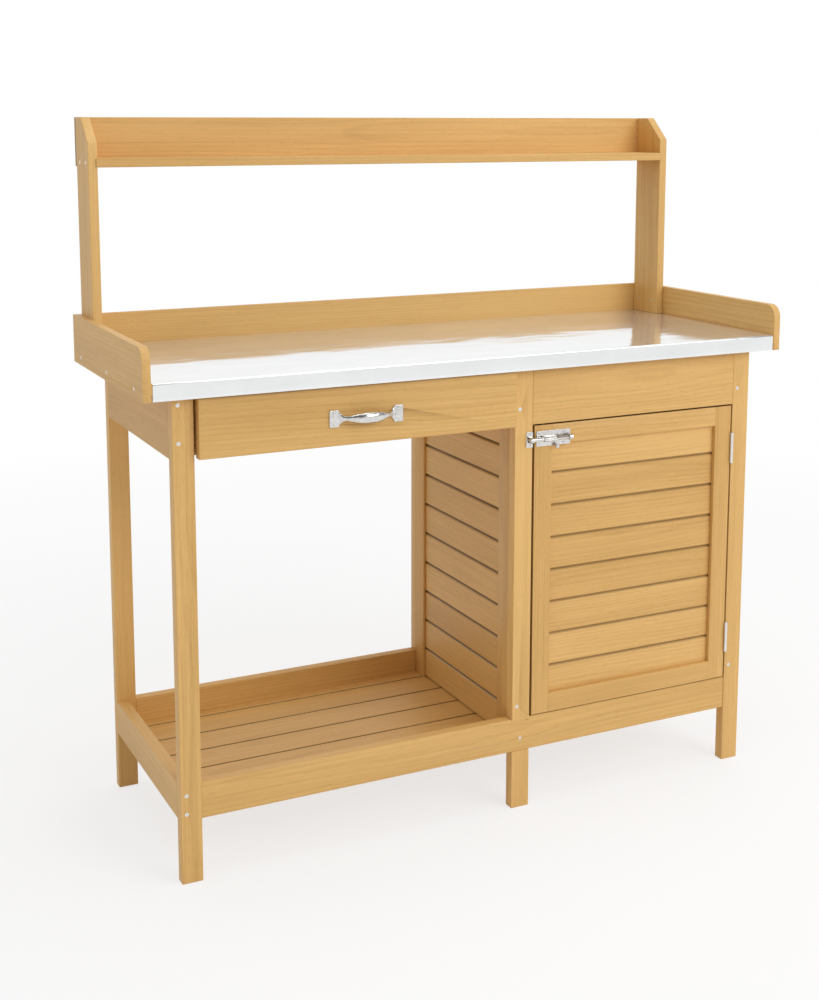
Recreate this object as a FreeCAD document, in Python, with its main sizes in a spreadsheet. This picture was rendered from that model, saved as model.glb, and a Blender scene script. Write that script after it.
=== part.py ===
import FreeCAD, Part
import math
import os

import Sketcher
from FreeCAD import Placement, Rotation, Vector

# A potting bench: six legs and rails carry a slatted floor, a drawer bay, a cabinet with a boarded
# door, and a worktop covered in galvanised sheet with a small shelf (the hutch) above it.
# +X is the bench's right, -Y its front, +Z up. The origin is on the floor, under the middle of the
# space that the bench takes up. All sizes are in millimetres.

SHEET = (
    # overall sizes
    ("bench_width", 1200, "over the two side boards"),
    ("bench_height", 1214, "floor to the top of the uprights"),
    ("worktop_height", 818, "floor to the top of the galvanised sheet"),
    ("frame_depth", 405, "front of the front legs to the rear of the back legs"),
    ("side_overhang", 50, "worktop past the corner legs, each side"),
    ("front_overhang", 22.5, "worktop past the front legs"),
    ("drawer_bay_width", 568, "left leg to middle leg"),
    # legs and rails
    ("leg_width", 35, "seen from the front"),
    ("leg_thickness", 20, "seen from the side, and the rails' thickness"),
    ("rail_bottom", 105, "floor to the underside of the bottom rails"),
    ("rail_height", 60, "bottom rails"),
    ("rail_setback", 1.5, "long rails behind the legs' outer faces"),
    ("top_rail_height", 109, "top rails and front panel"),
    ("lap_keep", 8, "thickness a middle leg keeps where a rail crosses it"),
    ("post_lip", 5, "the post laps down over the front rail's top edge"),
    # floor
    ("floor_height", 121, "top of the floor slats"),
    ("slat_thickness", 10, ""),
    ("slat_count", 6, "four whole slats between a ripped one at the front and one at the back"),
    ("slat_gap", 3, ""),
    ("front_slat_width", 56.5, "the slat ripped down to fit at the front"),
    ("back_slat_width", 27.5, "the slat ripped down to fit at the back"),
    ("housing_wall", 12, "wood outside the groove that holds the slats' left ends"),
    ("bearer_height", 14, "bearers under the slats, hidden by the rails from above"),
    ("bearer_thickness", 20, ""),
    # framed panels of matched boards
    ("panel_thickness", 20, "partition and cabinet side"),
    ("stile_width", 35, ""),
    ("board_thickness", 10, ""),
    ("board_cover", 58.5, "height that each matched board covers"),
    ("board_gap", 0.3, "between the shoulders of two boards"),
    ("board_bevel", 2.5, "V joint"),
    ("tongue_height", 3.6, ""),
    ("tongue_thickness", 3.2, ""),
    ("fit_clearance", 0.2, "tongues, boards and panels in their grooves, each side"),
    ("end_clearance", 0.5, "boards and slats short of the bottom of their grooves"),
    ("stile_groove", 6, "depth of the grooves that hold board ends"),
    ("panel_recess", 5, "board face behind the stile face"),
    ("door_recess", 8, "board face behind the door's face"),
    ("back_recess", 5, "cabinet back boards behind the rear face of the legs"),
    # worktop
    ("tabletop_thickness", 17, ""),
    ("tabletop_ease", 2, "bevel that clears the bend of the sheet"),
    ("sheet_thickness", 0.8, "galvanised sheet"),
    ("sheet_lip", 28, "fold down over the front edge"),
    ("sheet_bend", 2.5, "outer radius of the fold"),
    ("sheet_side_gap", 2.5, "sheet to side board"),
    ("side_board_thickness", 13, ""),
    ("side_board_height", 83, "side boards and back board"),
    ("side_board_drop", 28, "side board's lower edge below the worktop"),
    ("corner_radius", 23, "rounded top front corner of a side board"),
    ("back_board_thickness", 10, "worktop and hutch back boards"),
    # hutch
    ("upright_thickness", 16, ""),
    ("upright_depth", 81, ""),
    ("top_cut_depth", 46, "cut top corner of an upright, along Y"),
    ("top_cut_height", 43, "cut top corner of an upright, along Z"),
    ("shelf_drop", 84, "underside of the hutch shelf below the bench's top"),
    ("shelf_thickness", 15, ""),
    ("shelf_housing", 3, "depth of the housings in the uprights"),
    ("shelf_proud", 2, "shelf in front of the uprights"),
    # drawer
    ("drawer_side_gap", 3.5, "drawer front to leg, each side"),
    ("drawer_front_height", 96, ""),
    ("drawer_front_thickness", 18, ""),
    ("drawer_front_proud", 13, "drawer front before the legs' faces"),
    ("drawer_front_lift", 1, "drawer front's lower edge above the top rails' lower edge"),
    ("drawer_front_round", 2, "rounding of the drawer front's edges"),
    ("drawer_side_height", 72, ""),
    ("drawer_side_thickness", 12, ""),
    ("drawer_back_space", 35, "drawer short of the back rail"),
    ("drawer_back_thickness", 12, ""),
    ("drawer_bottom_thickness", 4, ""),
    ("drawer_bottom_lift", 8, "drawer bottom above the sides' lower edge"),
    ("drawer_groove", 5, "depth of the groove that holds the drawer bottom"),
    ("runner_lift", 2, "runners above the top rails' lower edge"),
    ("runner_height", 19.5, ""),
    ("runner_width", 30, "under a drawer side"),
    ("runner_clearance", 0.5, "drawer side above its runner"),
    # door
    ("door_latch_gap", 4, "door to middle leg"),
    ("hinge_gap", 3, "door to right leg"),
    ("door_top_gap", 2.5, ""),
    ("door_bottom_gap", 2, ""),
    ("door_thickness", 20, ""),
    ("door_board_seat", 10, "lowest board's depth in the bottom rail"),
    # hinges
    ("hinge_height", 57, ""),
    ("hinge_inset", 79, "hinge's middle from the door's end"),
    ("leaf_thickness", 1.2, ""),
    ("leaf_depth", 16, "leaf along the door's edge"),
    ("knuckle_radius", 2.9, ""),
    ("hinge_pin_radius", 1.4, ""),
    ("hinge_pin_clearance", 0.05, "radial"),
    ("knuckle_gap", 0.3, "between knuckles, along the pin"),
    ("hinge_axis_proud", 3, "pin's axis before the door's face"),
    # barrel bolt
    ("bolt_plate_length", 68, ""),
    ("bolt_plate_height", 27, ""),
    ("bolt_plate_thickness", 1.5, ""),
    ("bolt_plate_inset", 3, "plate from the door's edge"),
    ("bolt_drop", 23.5, "bolt's axis below the door's top"),
    ("bolt_radius", 4, ""),
    ("bolt_clearance", 0.05, "radial, in the barrel"),
    ("bolt_wall", 1.5, "wall of the barrel, bracket and keep"),
    ("bolt_length", 84, ""),
    ("bolt_reach", 14, "bolt's tip past the door's edge when shut"),
    ("barrel_start", 11, "barrel from the plate's latch end"),
    ("barrel_length", 24, ""),
    ("bracket_length", 6, "bracket at the plate's far end"),
    ("keep_clearance", 0.4, "radial, bolt in the keep"),
    ("keep_width", 13, ""),
    ("keep_height", 27.5, ""),
    ("keep_hoop", 6, "keep's hoop along the bolt"),
    ("keep_hoop_inset", 3, "keep's hoop from the middle leg's edge"),
    ("knob_radius", 4.2, ""),
    ("knob_drop", 14.5, "knob's middle below the bolt's axis"),
    ("knob_stem_radius", 2, ""),
    ("knob_offset", 3.5, "stem's axis from the barrel's end"),
    # pull handle
    ("handle_length", 130, "over the two plates"),
    ("handle_plate_width", 16.5, ""),
    ("handle_plate_height", 28, ""),
    ("handle_plate_thickness", 2.5, ""),
    ("handle_flare", 11, "length over which a plate narrows towards the grip"),
    ("handle_chord", 100, "between the grip's two roots"),
    ("handle_root_depth", 3.5, "half the grip's thickness at its roots, front to back"),
    ("handle_root_height", 4.5, "half the grip's height at its roots"),
    ("handle_swell_depth", 5, "half the grip's thickness at its middle, front to back"),
    ("handle_swell_height", 8, "half the grip's height at its middle"),
    ("handle_projection", 22, "grip before the drawer front"),
    ("handle_drop", 3, "handle's middle below the drawer front's middle"),
    # screws: flush countersunk ones in the wood, domed ones on the metal fittings
    ("wood_screw_head", 3.4, "head radius"),
    ("wood_screw_cone", 2.4, "depth of the countersunk head"),
    ("wood_screw_shank", 1.6, "shank radius"),
    ("wood_screw_length", 30, ""),
    ("short_screw_head", 2.8, "head radius"),
    ("short_screw_cone", 2, "depth of the countersunk head"),
    ("short_screw_shank", 1.4, "shank radius"),
    ("short_screw_length", 14, ""),
    ("fitting_screw_head", 2.2, "head radius"),
    ("fitting_screw_dome", 0.9, "height of the domed head"),
    ("fitting_screw_crown", 1.5, "radius of the flat on top of the domed head"),
    ("fitting_screw_shank", 1.1, "shank radius"),
    ("fitting_screw_length", 9, ""),
    ("screw_clearance", 0.1, "round a screw's shank and cone, radial"),
    ("screw_edge", 10, "frame screws from the edge of the leg"),
    ("rail_screw_low", 12, "lower screw above the bottom rails' lower edge"),
    ("rail_screw_high", 43, "upper screw above the bottom rails' lower edge"),
    ("top_rail_screw_low", 27, "lower screw above the top rails' lower edge"),
    ("top_rail_screw_drop", 22, "upper screw below the top of the leg"),
    ("panel_screw_low", 23, "stile's lower screw above the bottom rail"),
    ("panel_screw_high", 29, "front stile's upper screw above the top rails' lower edge"),
    ("panel_screw_drop", 32, "back stile's upper screw below the top rails' lower edge"),
    ("lap_screw_lift", 23, "screw in a lap above the bottom rails' lower edge"),
    ("side_screw_lift", 3.5, "side board's screws above the tabletop's underside"),
    ("side_screw_front", 50, "side board's front screw from the tabletop's front edge"),
    ("side_screw_middle", 216, "side board's middle screw from the tabletop's front edge"),
    ("side_screw_back", 388, "side board's back screw from the tabletop's front edge"),
    ("upright_screw_front", 20, "upright's screws from its front edge"),
    ("upright_screw_back", 60, "upright's screws from its front edge"),
    ("upright_screw_lift", 26, "upright's foot screws above the worktop"),
    ("keep_screw_spread", 10.1, "keep's screws from the bolt's axis"),
    ("plate_screw_spread", 9.8, "bolt plate's screws from the bolt's axis"),
    ("plate_screw_near", 5.5, "bolt plate's screws from its latch end"),
    ("plate_screw_far", 14, "bolt plate's screws from its far end"),
    ("handle_screw_spread", 9.6, "handle's screws from its middle height"),
)

doc = FreeCAD.newDocument("potting_bench")
sheet = doc.addObject("Spreadsheet::Sheet", "dims")
for row, (alias, value, note) in enumerate(SHEET, start=1):
    sheet.set(f"A{row}", alias)
    sheet.set(f"B{row}", str(value))
    sheet.set(f"C{row}", note)
    sheet.setAlias(f"B{row}", alias)
doc.recompute()


# Expressions. A place or a size is the text of a formula over the sheet's cells, so that every piece
# follows the sheet. Words of such a formula that are cells get the sheet's name before them.

CELLS = sorted((alias for alias, _, _ in SHEET), key=len, reverse=True)


def formula(text):
    """The text of a formula with each cell's alias written in full."""
    words, word = [], ""
    for letter in str(text) + " ":
        if letter.isalnum() or letter in "_.":
            word += letter
            continue
        words.append(f"dims.{word}" if word in CELLS else word)
        words.append(letter)
        word = ""
    return "".join(words).strip()


def number(text):
    """A formula's value in millimetres or as a plain number."""
    value = sheet.evalExpression(formula(text))
    return float(getattr(value, "Value", value))


def bind(thing, name, text):
    thing.setExpression(name, formula(text))


def place(thing, corner):
    for letter, text in zip("xyz", corner):
        bind(thing, f"Placement.Base.{letter}", text)


# Places that several pieces share.

FRAME_LEFT = "(-bench_width / 2 + side_overhang)"
FRAME_RIGHT = "(bench_width / 2 - side_overhang)"
POST_LEFT = f"({FRAME_LEFT} + leg_width + drawer_bay_width)"
POST_RIGHT = f"({POST_LEFT} + leg_width)"
RIGHT_LEG = f"({FRAME_RIGHT} - leg_width)"
FRONT = "((drawer_front_proud + handle_projection - frame_depth - back_board_thickness) / 2)"
FRONT_IN = f"({FRONT} + leg_thickness)"
BACK = f"({FRONT} + frame_depth)"
BACK_IN = f"({BACK} - leg_thickness)"
INNER_DEPTH = "(frame_depth - 2 * leg_thickness)"
LEG_TOP = "(worktop_height - sheet_thickness - tabletop_thickness)"
TOP_RAIL_BOTTOM = f"({LEG_TOP} - top_rail_height)"
RAIL_TOP = "(rail_bottom + rail_height)"
SIDE_IN = "(bench_width / 2 - side_board_thickness)"
DOOR_LEFT = f"({POST_RIGHT} + door_latch_gap)"
DOOR_RIGHT = f"({RIGHT_LEG} - hinge_gap)"
DOOR_BOTTOM = f"({RAIL_TOP} + door_bottom_gap)"
DOOR_TOP = f"({TOP_RAIL_BOTTOM} - door_top_gap)"

nodes = {}


def keep(name, thing):
    """thing is a finished sub-part of the bench; its label is its node's name."""
    thing.Label = name
    nodes[name] = thing
    return thing


# Part pieces: plain sawn boards are boxes, and notches are cut out of them.


def block(name, corner, size):
    """A box with its lowest corner and its size along X, Y and Z as formulas."""
    box = doc.addObject("Part::Box", name)
    for side, text in zip(("Length", "Width", "Height"), size):
        bind(box, side, text)
    place(box, corner)
    return box


def rod(name, start, radius, length, axis="z"):
    """A round bar from the point start, running along +X, +Y, +Z or their opposites."""
    turn = {
        "x": Rotation(Vector(0, 1, 0), 90),
        "-x": Rotation(Vector(0, 1, 0), -90),
        "y": Rotation(Vector(1, 0, 0), -90),
        "-y": Rotation(Vector(1, 0, 0), 90),
        "z": Rotation(),
        "-z": Rotation(Vector(1, 0, 0), 180),
    }[axis]
    bar = doc.addObject("Part::Cylinder", name)
    bind(bar, "Radius", radius)
    bind(bar, "Height", length)
    bar.Placement = Placement(Vector(), turn)
    place(bar, start)
    return bar


def cut(name, base, *tools):
    """base with each of the tools cut out of it, one after another."""
    for count, tool in enumerate(tools):
        step = doc.addObject("Part::Cut", f"{name}_cut_{count}")
        step.Base = base
        step.Tool = tool
        base = step
    return base


def fuse(name, *pieces):
    joined = doc.addObject("Part::MultiFuse", f"{name}_fuse")
    joined.Shapes = list(pieces)
    joined.Refine = True
    return joined


# PartDesign pieces: profiles that are padded, revolved, pocketed, rounded and patterned.


def origin_feature(body, role):
    return next(item for item in body.Origin.OriginFeatures if item.Role == role)


def sketch_outline(body, name, plane, outline):
    """A closed outline of straight lines. Each corner is held from the origin by its two formulas."""
    sketch = body.newObject("Sketcher::SketchObject", name)
    sketch.AttachmentSupport = [(origin_feature(body, plane), "")]
    sketch.MapMode = "FlatFace"
    corners = [Vector(number(u), number(v), 0) for u, v in outline]
    for index, corner in enumerate(corners):
        following = corners[(index + 1) % len(corners)]
        sketch.addGeometry(Part.LineSegment(corner, following), False)
    for index in range(len(corners)):
        following = (index + 1) % len(corners)
        sketch.addConstraint(Sketcher.Constraint("Coincident", index, 2, following, 1))
    vertical_axis, horizontal_axis = -2, -1
    for index, (u, v) in enumerate(outline):
        for kind, axis, text in (
            ("DistanceX", vertical_axis, u),
            ("DistanceY", horizontal_axis, v),
        ):
            if text == "0":
                sketch.addConstraint(Sketcher.Constraint("PointOnObject", index, 1, axis))
                continue
            held = sketch.addConstraint(
                Sketcher.Constraint(kind, -1, 1, index, 1, number(text))
            )
            label = f"{kind[-1].lower()}{index}"
            sketch.renameConstraint(held, label)
            bind(sketch, f"Constraints.{label}", text)
    return sketch


def padded_body(name, plane, outline, length, corner):
    """A body whose outline, in the plane, is padded along the plane's positive axis."""
    body = doc.addObject("PartDesign::Body", f"{name}_body")
    pad = body.newObject("PartDesign::Pad", f"{name}_pad")
    pad.Profile = sketch_outline(body, f"{name}_outline", plane, outline)
    pad.Reversed = plane == "XZ_Plane"
    bind(pad, "Length", length)
    body.Tip = pad
    place(body, corner)
    doc.recompute()
    return body


def pocket(body, name, plane, outline):
    """A pocket right through the body, both ways from the plane. It has to remove something."""
    before = body.Shape.Volume
    sketch = sketch_outline(body, f"{name}_outline", plane, outline)
    hollow = body.newObject("PartDesign::Pocket", name)
    hollow.Profile = sketch
    hollow.Type = "ThroughAll"
    hollow.SideType = "Symmetric"
    body.Tip = hollow
    doc.recompute()
    if body.Shape.Volume > before - 1:
        raise RuntimeError(f"pocket {name} cuts nothing")


def round_edges(body, name, chosen, radius):
    """Rounds the edges for which chosen(edge) holds, with the radius in that cell."""
    base = body.Tip
    names = [
        f"Edge{count}" for count, edge in enumerate(base.Shape.Edges, start=1) if chosen(edge)
    ]
    if not names:
        raise RuntimeError(f"{name} found no edge to round")
    rounding = body.newObject("PartDesign::Fillet", name)
    rounding.Base = (base, names)
    bind(rounding, "Radius", radius)
    body.Tip = rounding
    doc.recompute()


def runs_along(edge, direction):
    """Whether a straight edge runs along that axis."""
    if not isinstance(edge.Curve, Part.Line):
        return False
    return abs(abs(edge.Curve.Direction.dot(Vector(*direction))) - 1) < 1e-6


def revolved_body(name, outline):
    """A body turned about its own Z axis from an outline of (radius, height) corners."""
    body = doc.addObject("PartDesign::Body", f"{name}_body")
    turned = body.newObject("PartDesign::Revolution", f"{name}_turned")
    sketch = sketch_outline(body, f"{name}_outline", "XZ_Plane", outline)
    turned.Profile = sketch
    turned.ReferenceAxis = (sketch, ["V_Axis"])
    turned.Angle = 360
    body.Tip = turned
    doc.recompute()
    return body


# Legs. The middle legs are full height and keep only part of their thickness behind a crossing rail.


def leg(name, left, front, *cuts):
    post = block(name, (left, front, "0"), ("leg_width", "leg_thickness", LEG_TOP))
    keep(name, cut(name, post, *cuts))


def crossing(name, front, bottom, height):
    """The space at a middle leg that a crossing rail takes, from the rail's outer face inwards."""
    return block(name, (POST_LEFT, front, bottom), ("leg_width", "leg_thickness - lap_keep", height))


def back_panel_groove(name, left):
    return block(
        name,
        (left, f"{BACK} - back_recess - board_thickness - fit_clearance", RAIL_TOP),
        ("stile_groove", "board_thickness + 2 * fit_clearance", f"{TOP_RAIL_BOTTOM} - {RAIL_TOP}"),
    )


leg("leg_front_left", FRAME_LEFT, FRONT)
leg("leg_front_right", RIGHT_LEG, FRONT)
leg("leg_back_left", FRAME_LEFT, BACK_IN)
leg("leg_back_right", RIGHT_LEG, BACK_IN, back_panel_groove("right_groove", RIGHT_LEG))
leg(
    "middle_front_leg",
    POST_LEFT,
    FRONT,
    crossing("front_crossing", FRONT, "rail_bottom", "rail_height - post_lip"),
)
BACK_LAP = f"({BACK_IN} + lap_keep)"
leg(
    "middle_back_leg",
    POST_LEFT,
    BACK_IN,
    crossing("back_crossing", BACK_LAP, "rail_bottom", "rail_height"),
    crossing("top_crossing", BACK_LAP, TOP_RAIL_BOTTOM, "top_rail_height"),
    back_panel_groove("middle_groove", f"{POST_RIGHT} - stile_groove"),
)

# Rails. The long rails run between the corner legs and cross the middle legs; the short ones run
# between the front and back legs on the left.

LONG_RAIL = f"({RIGHT_LEG} - {FRAME_LEFT} - leg_width)"
RAIL_THICKNESS = "(leg_thickness - rail_setback)"


def long_rail(name, front, bottom, height, notch_front, lip):
    """A rail between corner legs, cut away where a middle leg passes behind or before it."""
    left = f"{FRAME_LEFT} + leg_width"
    rail = block(name, (left, front, bottom), (LONG_RAIL, RAIL_THICKNESS, height))
    tools = [
        block(
            f"{name}_lap",
            (POST_LEFT, notch_front, bottom),
            ("leg_width", "lap_keep", height),
        )
    ]
    if lip:
        tools.append(
            block(
                f"{name}_lip",
                (POST_LEFT, front, f"{bottom} + {height} - {lip}"),
                ("leg_width", "leg_thickness", lip),
            )
        )
    keep(name, cut(name, rail, *tools))


def short_rail(name, bottom, height, *cuts):
    rail = block(name, (FRAME_LEFT, FRONT_IN, bottom), ("leg_thickness", INNER_DEPTH, height))
    keep(name, cut(name, rail, *cuts))


FRONT_LAP = f"({FRONT_IN} - lap_keep)"
long_rail(
    "front_bottom_rail",
    f"{FRONT} + rail_setback",
    "rail_bottom",
    "rail_height",
    FRONT_LAP,
    "post_lip",
)
long_rail("back_bottom_rail", BACK_IN, "rail_bottom", "rail_height", BACK_IN, None)
long_rail("back_top_rail", BACK_IN, TOP_RAIL_BOTTOM, "top_rail_height", BACK_IN, None)
slat_groove = block(
    "slat_groove",
    (
        f"{FRAME_LEFT} + housing_wall",
        FRONT_IN,
        "floor_height - slat_thickness - fit_clearance",
    ),
    ("leg_thickness - housing_wall", INNER_DEPTH, "slat_thickness + 2 * fit_clearance"),
)
short_rail("left_bottom_rail", "rail_bottom", "rail_height", slat_groove)
short_rail("left_top_rail", TOP_RAIL_BOTTOM, "top_rail_height")
keep(
    "front_panel",
    block(
        "front_panel",
        (POST_RIGHT, FRONT, TOP_RAIL_BOTTOM),
        (f"{RIGHT_LEG} - {POST_RIGHT}", "leg_thickness", "top_rail_height"),
    ),
)

# Floor. The slats run the length of the bench, and the whole ones share the depth that is left.

slat_left = f"({FRAME_LEFT} + housing_wall + end_clearance)"
slat_right = f"({RIGHT_LEG} + bearer_thickness)"
ripped = "(front_slat_width + back_slat_width + (slat_count - 1) * slat_gap)"
whole_slat = f"(({INNER_DEPTH} - {ripped}) / (slat_count - 2))"
slats = [("0", "front_slat_width")]
for count in range(int(number("slat_count")) - 2):
    slats.append((f"(front_slat_width + slat_gap + {count} * ({whole_slat} + slat_gap))", whole_slat))
slats.append((f"({INNER_DEPTH} - back_slat_width)", "back_slat_width"))
for count, (start, width) in enumerate(slats, start=1):
    name = f"floor_slat_{count}"
    keep(
        name,
        block(
            name,
            (slat_left, f"{FRONT_IN} + {start}", "floor_height - slat_thickness"),
            (f"{slat_right} - {slat_left}", width, "slat_thickness"),
        ),
    )
for name, left in (
    ("slat_bearer_middle", f"{POST_LEFT}"),
    ("slat_bearer_right", RIGHT_LEG),
):
    keep(
        name,
        block(
            name,
            (left, FRONT_IN, "floor_height - slat_thickness - bearer_height"),
            ("bearer_thickness", INNER_DEPTH, "bearer_height"),
        ),
    )

# Matched boards. Each has a tongue on top, a groove below and a bevel along each edge of its face.


def board_outline(height, flipped, tongue=True):
    """(across, up) corners of a board's end; the face is at 0 across, or at the far side if flipped."""
    middle = "board_thickness / 2"
    slot = "(tongue_thickness / 2 + fit_clearance)"
    corners = [
        ("0", "board_bevel"),
        ("board_bevel", "0"),
        (f"{middle} - {slot}", "0"),
        (f"{middle} - {slot}", "tongue_height + fit_clearance"),
        (f"{middle} + {slot}", "tongue_height + fit_clearance"),
        (f"{middle} + {slot}", "0"),
        ("board_thickness", "0"),
        ("board_thickness", height),
    ]
    if tongue:
        corners += [
            (f"{middle} + tongue_thickness / 2", height),
            (f"{middle} + tongue_thickness / 2", f"{height} + tongue_height"),
            (f"{middle} - tongue_thickness / 2", f"{height} + tongue_height"),
            (f"{middle} - tongue_thickness / 2", height),
        ]
    corners += [("board_bevel", height), ("0", f"{height} - board_bevel")]
    if flipped:
        mirrored = {"0": "board_thickness", "board_thickness": "0"}
        corners = [(mirrored.get(u, f"board_thickness - ({u})"), v) for u, v in corners]
    return corners


def board_stack(name, plane, corner, length, height, flipped=False):
    """Matched boards one above another up to that height, the topmost ripped to fit."""
    whole = int(number(height) / number("board_cover"))
    rest = f"({height} - {whole} * board_cover)"
    outline = board_outline("board_cover - board_gap", flipped)
    body = padded_body(f"{name}_whole", plane, outline, length, corner)
    row = body.newObject("PartDesign::LinearPattern", f"{name}_row")
    row.Originals = [body.Tip]
    row.Direction = (origin_feature(body, "Z_Axis"), [""])
    row.Mode = "Spacing"
    bind(row, "Offset", "board_cover")
    row.Occurrences = whole
    body.Tip = row
    doc.recompute()
    if number(rest) < number("3 * board_bevel"):
        keep(name, body)
        return whole
    top_outline = board_outline(rest, flipped, tongue=False)
    x, y, z = corner
    top_corner = (x, y, f"{z} + {whole} * board_cover")
    top = padded_body(f"{name}_top", plane, top_outline, length, top_corner)
    both = doc.addObject("Part::Compound", name)
    both.Links = [body, top]
    keep(name, both)
    return whole + 1


def stile_outline(groove_start, far_side):
    """Cross-section of a panel's stile: (along X, along Y), with the groove in its front or back edge."""
    left = f"{groove_start} - fit_clearance"
    right = f"{groove_start} + board_thickness + fit_clearance"
    if far_side:
        return [
            ("0", "0"),
            ("panel_thickness", "0"),
            ("panel_thickness", "stile_width"),
            (right, "stile_width"),
            (right, "stile_width - stile_groove"),
            (left, "stile_width - stile_groove"),
            (left, "stile_width"),
            ("0", "stile_width"),
        ]
    return [
        ("0", "0"),
        (left, "0"),
        (left, "stile_groove"),
        (right, "stile_groove"),
        (right, "0"),
        ("panel_thickness", "0"),
        ("panel_thickness", "stile_width"),
        ("0", "stile_width"),
    ]


def framed_panel(name, left, flipped):
    """A partition from the floor slats to the tabletop: two grooved stiles hold the boards' ends."""
    height = f"({LEG_TOP} - floor_height)"
    board_start = "(panel_thickness - panel_recess - board_thickness)" if flipped else "panel_recess"
    back_stile = f"({BACK_IN} - stile_width)"
    for part, front, far_side in (
        ("front_stile", FRONT_IN, True),
        ("back_stile", back_stile, False),
    ):
        outline = stile_outline(board_start, far_side)
        corner = (left, front, "floor_height")
        stile = padded_body(f"{name}_{part}", "XY_Plane", outline, height, corner)
        keep(f"{name}_{part}", stile)
    inset = "(stile_groove - end_clearance)"
    board_stack(
        f"{name}_boards",
        "XZ_Plane",
        (f"{left} + {board_start}", f"{FRONT_IN} + stile_width - {inset}", "floor_height"),
        f"{INNER_DEPTH} - 2 * stile_width + 2 * {inset}",
        height,
        flipped,
    )


framed_panel("partition", POST_LEFT, flipped=False)
framed_panel("cabinet_side", RIGHT_LEG, flipped=True)
back_inset = "(stile_groove - end_clearance)"
board_stack(
    "cabinet_back_boards",
    "YZ_Plane",
    (f"{POST_RIGHT} - {back_inset}", f"{BACK} - back_recess - board_thickness", RAIL_TOP),
    f"{RIGHT_LEG} - {POST_RIGHT} + 2 * {back_inset}",
    f"({TOP_RAIL_BOTTOM} - {RAIL_TOP})",
    flipped=True,
)

# Worktop.

TOP_FRONT = f"({FRONT} - front_overhang)"
TABLETOP_DEPTH = "(front_overhang + frame_depth)"
tabletop_thick = "tabletop_thickness"
keep(
    "tabletop_board",
    padded_body(
        "tabletop_board",
        "YZ_Plane",
        [
            ("0", "0"),
            (f"{TABLETOP_DEPTH} - sheet_thickness", "0"),
            (f"{TABLETOP_DEPTH} - sheet_thickness", tabletop_thick),
            ("tabletop_ease", tabletop_thick),
            ("0", f"{tabletop_thick} - tabletop_ease"),
        ],
        f"2 * {SIDE_IN}",
        (f"-{SIDE_IN}", f"{TOP_FRONT} + sheet_thickness", LEG_TOP),
    ),
)
sheet_top = padded_body(
    "metal_top",
    "YZ_Plane",
    [
        ("0", "0"),
        ("sheet_thickness", "0"),
        ("sheet_thickness", "sheet_lip - sheet_thickness"),
        (TABLETOP_DEPTH, "sheet_lip - sheet_thickness"),
        (TABLETOP_DEPTH, "sheet_lip"),
        ("0", "sheet_lip"),
    ],
    f"2 * ({SIDE_IN} - sheet_side_gap)",
    (f"-({SIDE_IN} - sheet_side_gap)", TOP_FRONT, "worktop_height - sheet_lip"),
)
lip_top = number("sheet_lip")
thick = number("sheet_thickness")


def at_fold(edge, across, up):
    middle = edge.CenterOfMass
    return runs_along(edge, (1, 0, 0)) and math.hypot(middle.y - across, middle.z - up) < 1e-3


round_edges(sheet_top, "fold_outside", lambda edge: at_fold(edge, 0, lip_top), "sheet_bend")
round_edges(
    sheet_top,
    "fold_inside",
    lambda edge: at_fold(edge, thick, lip_top - thick),
    "sheet_bend - sheet_thickness",
)
keep("metal_top", sheet_top)

SIDE_BOTTOM = "(worktop_height - side_board_drop)"
SIDE_DEPTH = "(front_overhang + frame_depth + back_board_thickness)"


def side_board(name, left):
    outline = [
        ("0", "0"),
        (SIDE_DEPTH, "0"),
        (SIDE_DEPTH, "side_board_height"),
        ("0", "side_board_height"),
    ]
    board = padded_body(name, "YZ_Plane", outline, "side_board_thickness", (left, TOP_FRONT, SIDE_BOTTOM))
    full_height = number("side_board_height")

    def top_front(edge):
        middle = edge.CenterOfMass
        at_corner = abs(middle.y) < 1e-3 and abs(middle.z - full_height) < 1e-3
        return runs_along(edge, (1, 0, 0)) and at_corner

    round_edges(board, f"{name}_corner", top_front, "corner_radius")
    keep(name, board)


side_board("side_board_left", "-bench_width / 2")
side_board("side_board_right", SIDE_IN)
keep(
    "worktop_back_board",
    block(
        "worktop_back_board",
        (f"-{SIDE_IN}", BACK, SIDE_BOTTOM),
        (f"2 * {SIDE_IN}", "back_board_thickness", "side_board_height"),
    ),
)

# Hutch: two uprights stand on the sheet against the side boards and hold the shelf in housings.

UPRIGHT_FRONT = f"({BACK} - upright_depth)"
UPRIGHT_HEIGHT = "(bench_height - worktop_height)"
SHELF_BOTTOM = "(bench_height - shelf_drop)"
UPRIGHT_IN = f"({SIDE_IN} - upright_thickness)"


def upright(name, left, housing_start):
    outline = [
        ("0", "0"),
        ("upright_depth", "0"),
        ("upright_depth", UPRIGHT_HEIGHT),
        ("top_cut_depth", UPRIGHT_HEIGHT),
        ("0", f"{UPRIGHT_HEIGHT} - top_cut_height"),
    ]
    corner = (left, UPRIGHT_FRONT, "worktop_height")
    body = padded_body(name, "YZ_Plane", outline, "upright_thickness", corner)
    bottom = f"({SHELF_BOTTOM} - worktop_height)"
    end = "shelf_housing" if housing_start == "0" else "upright_thickness"
    housing = [
        (housing_start, bottom),
        (end, bottom),
        (end, f"{bottom} + shelf_thickness"),
        (housing_start, f"{bottom} + shelf_thickness"),
    ]
    pocket(body, f"{name}_housing", "XZ_Plane", housing)
    keep(name, body)


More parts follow.
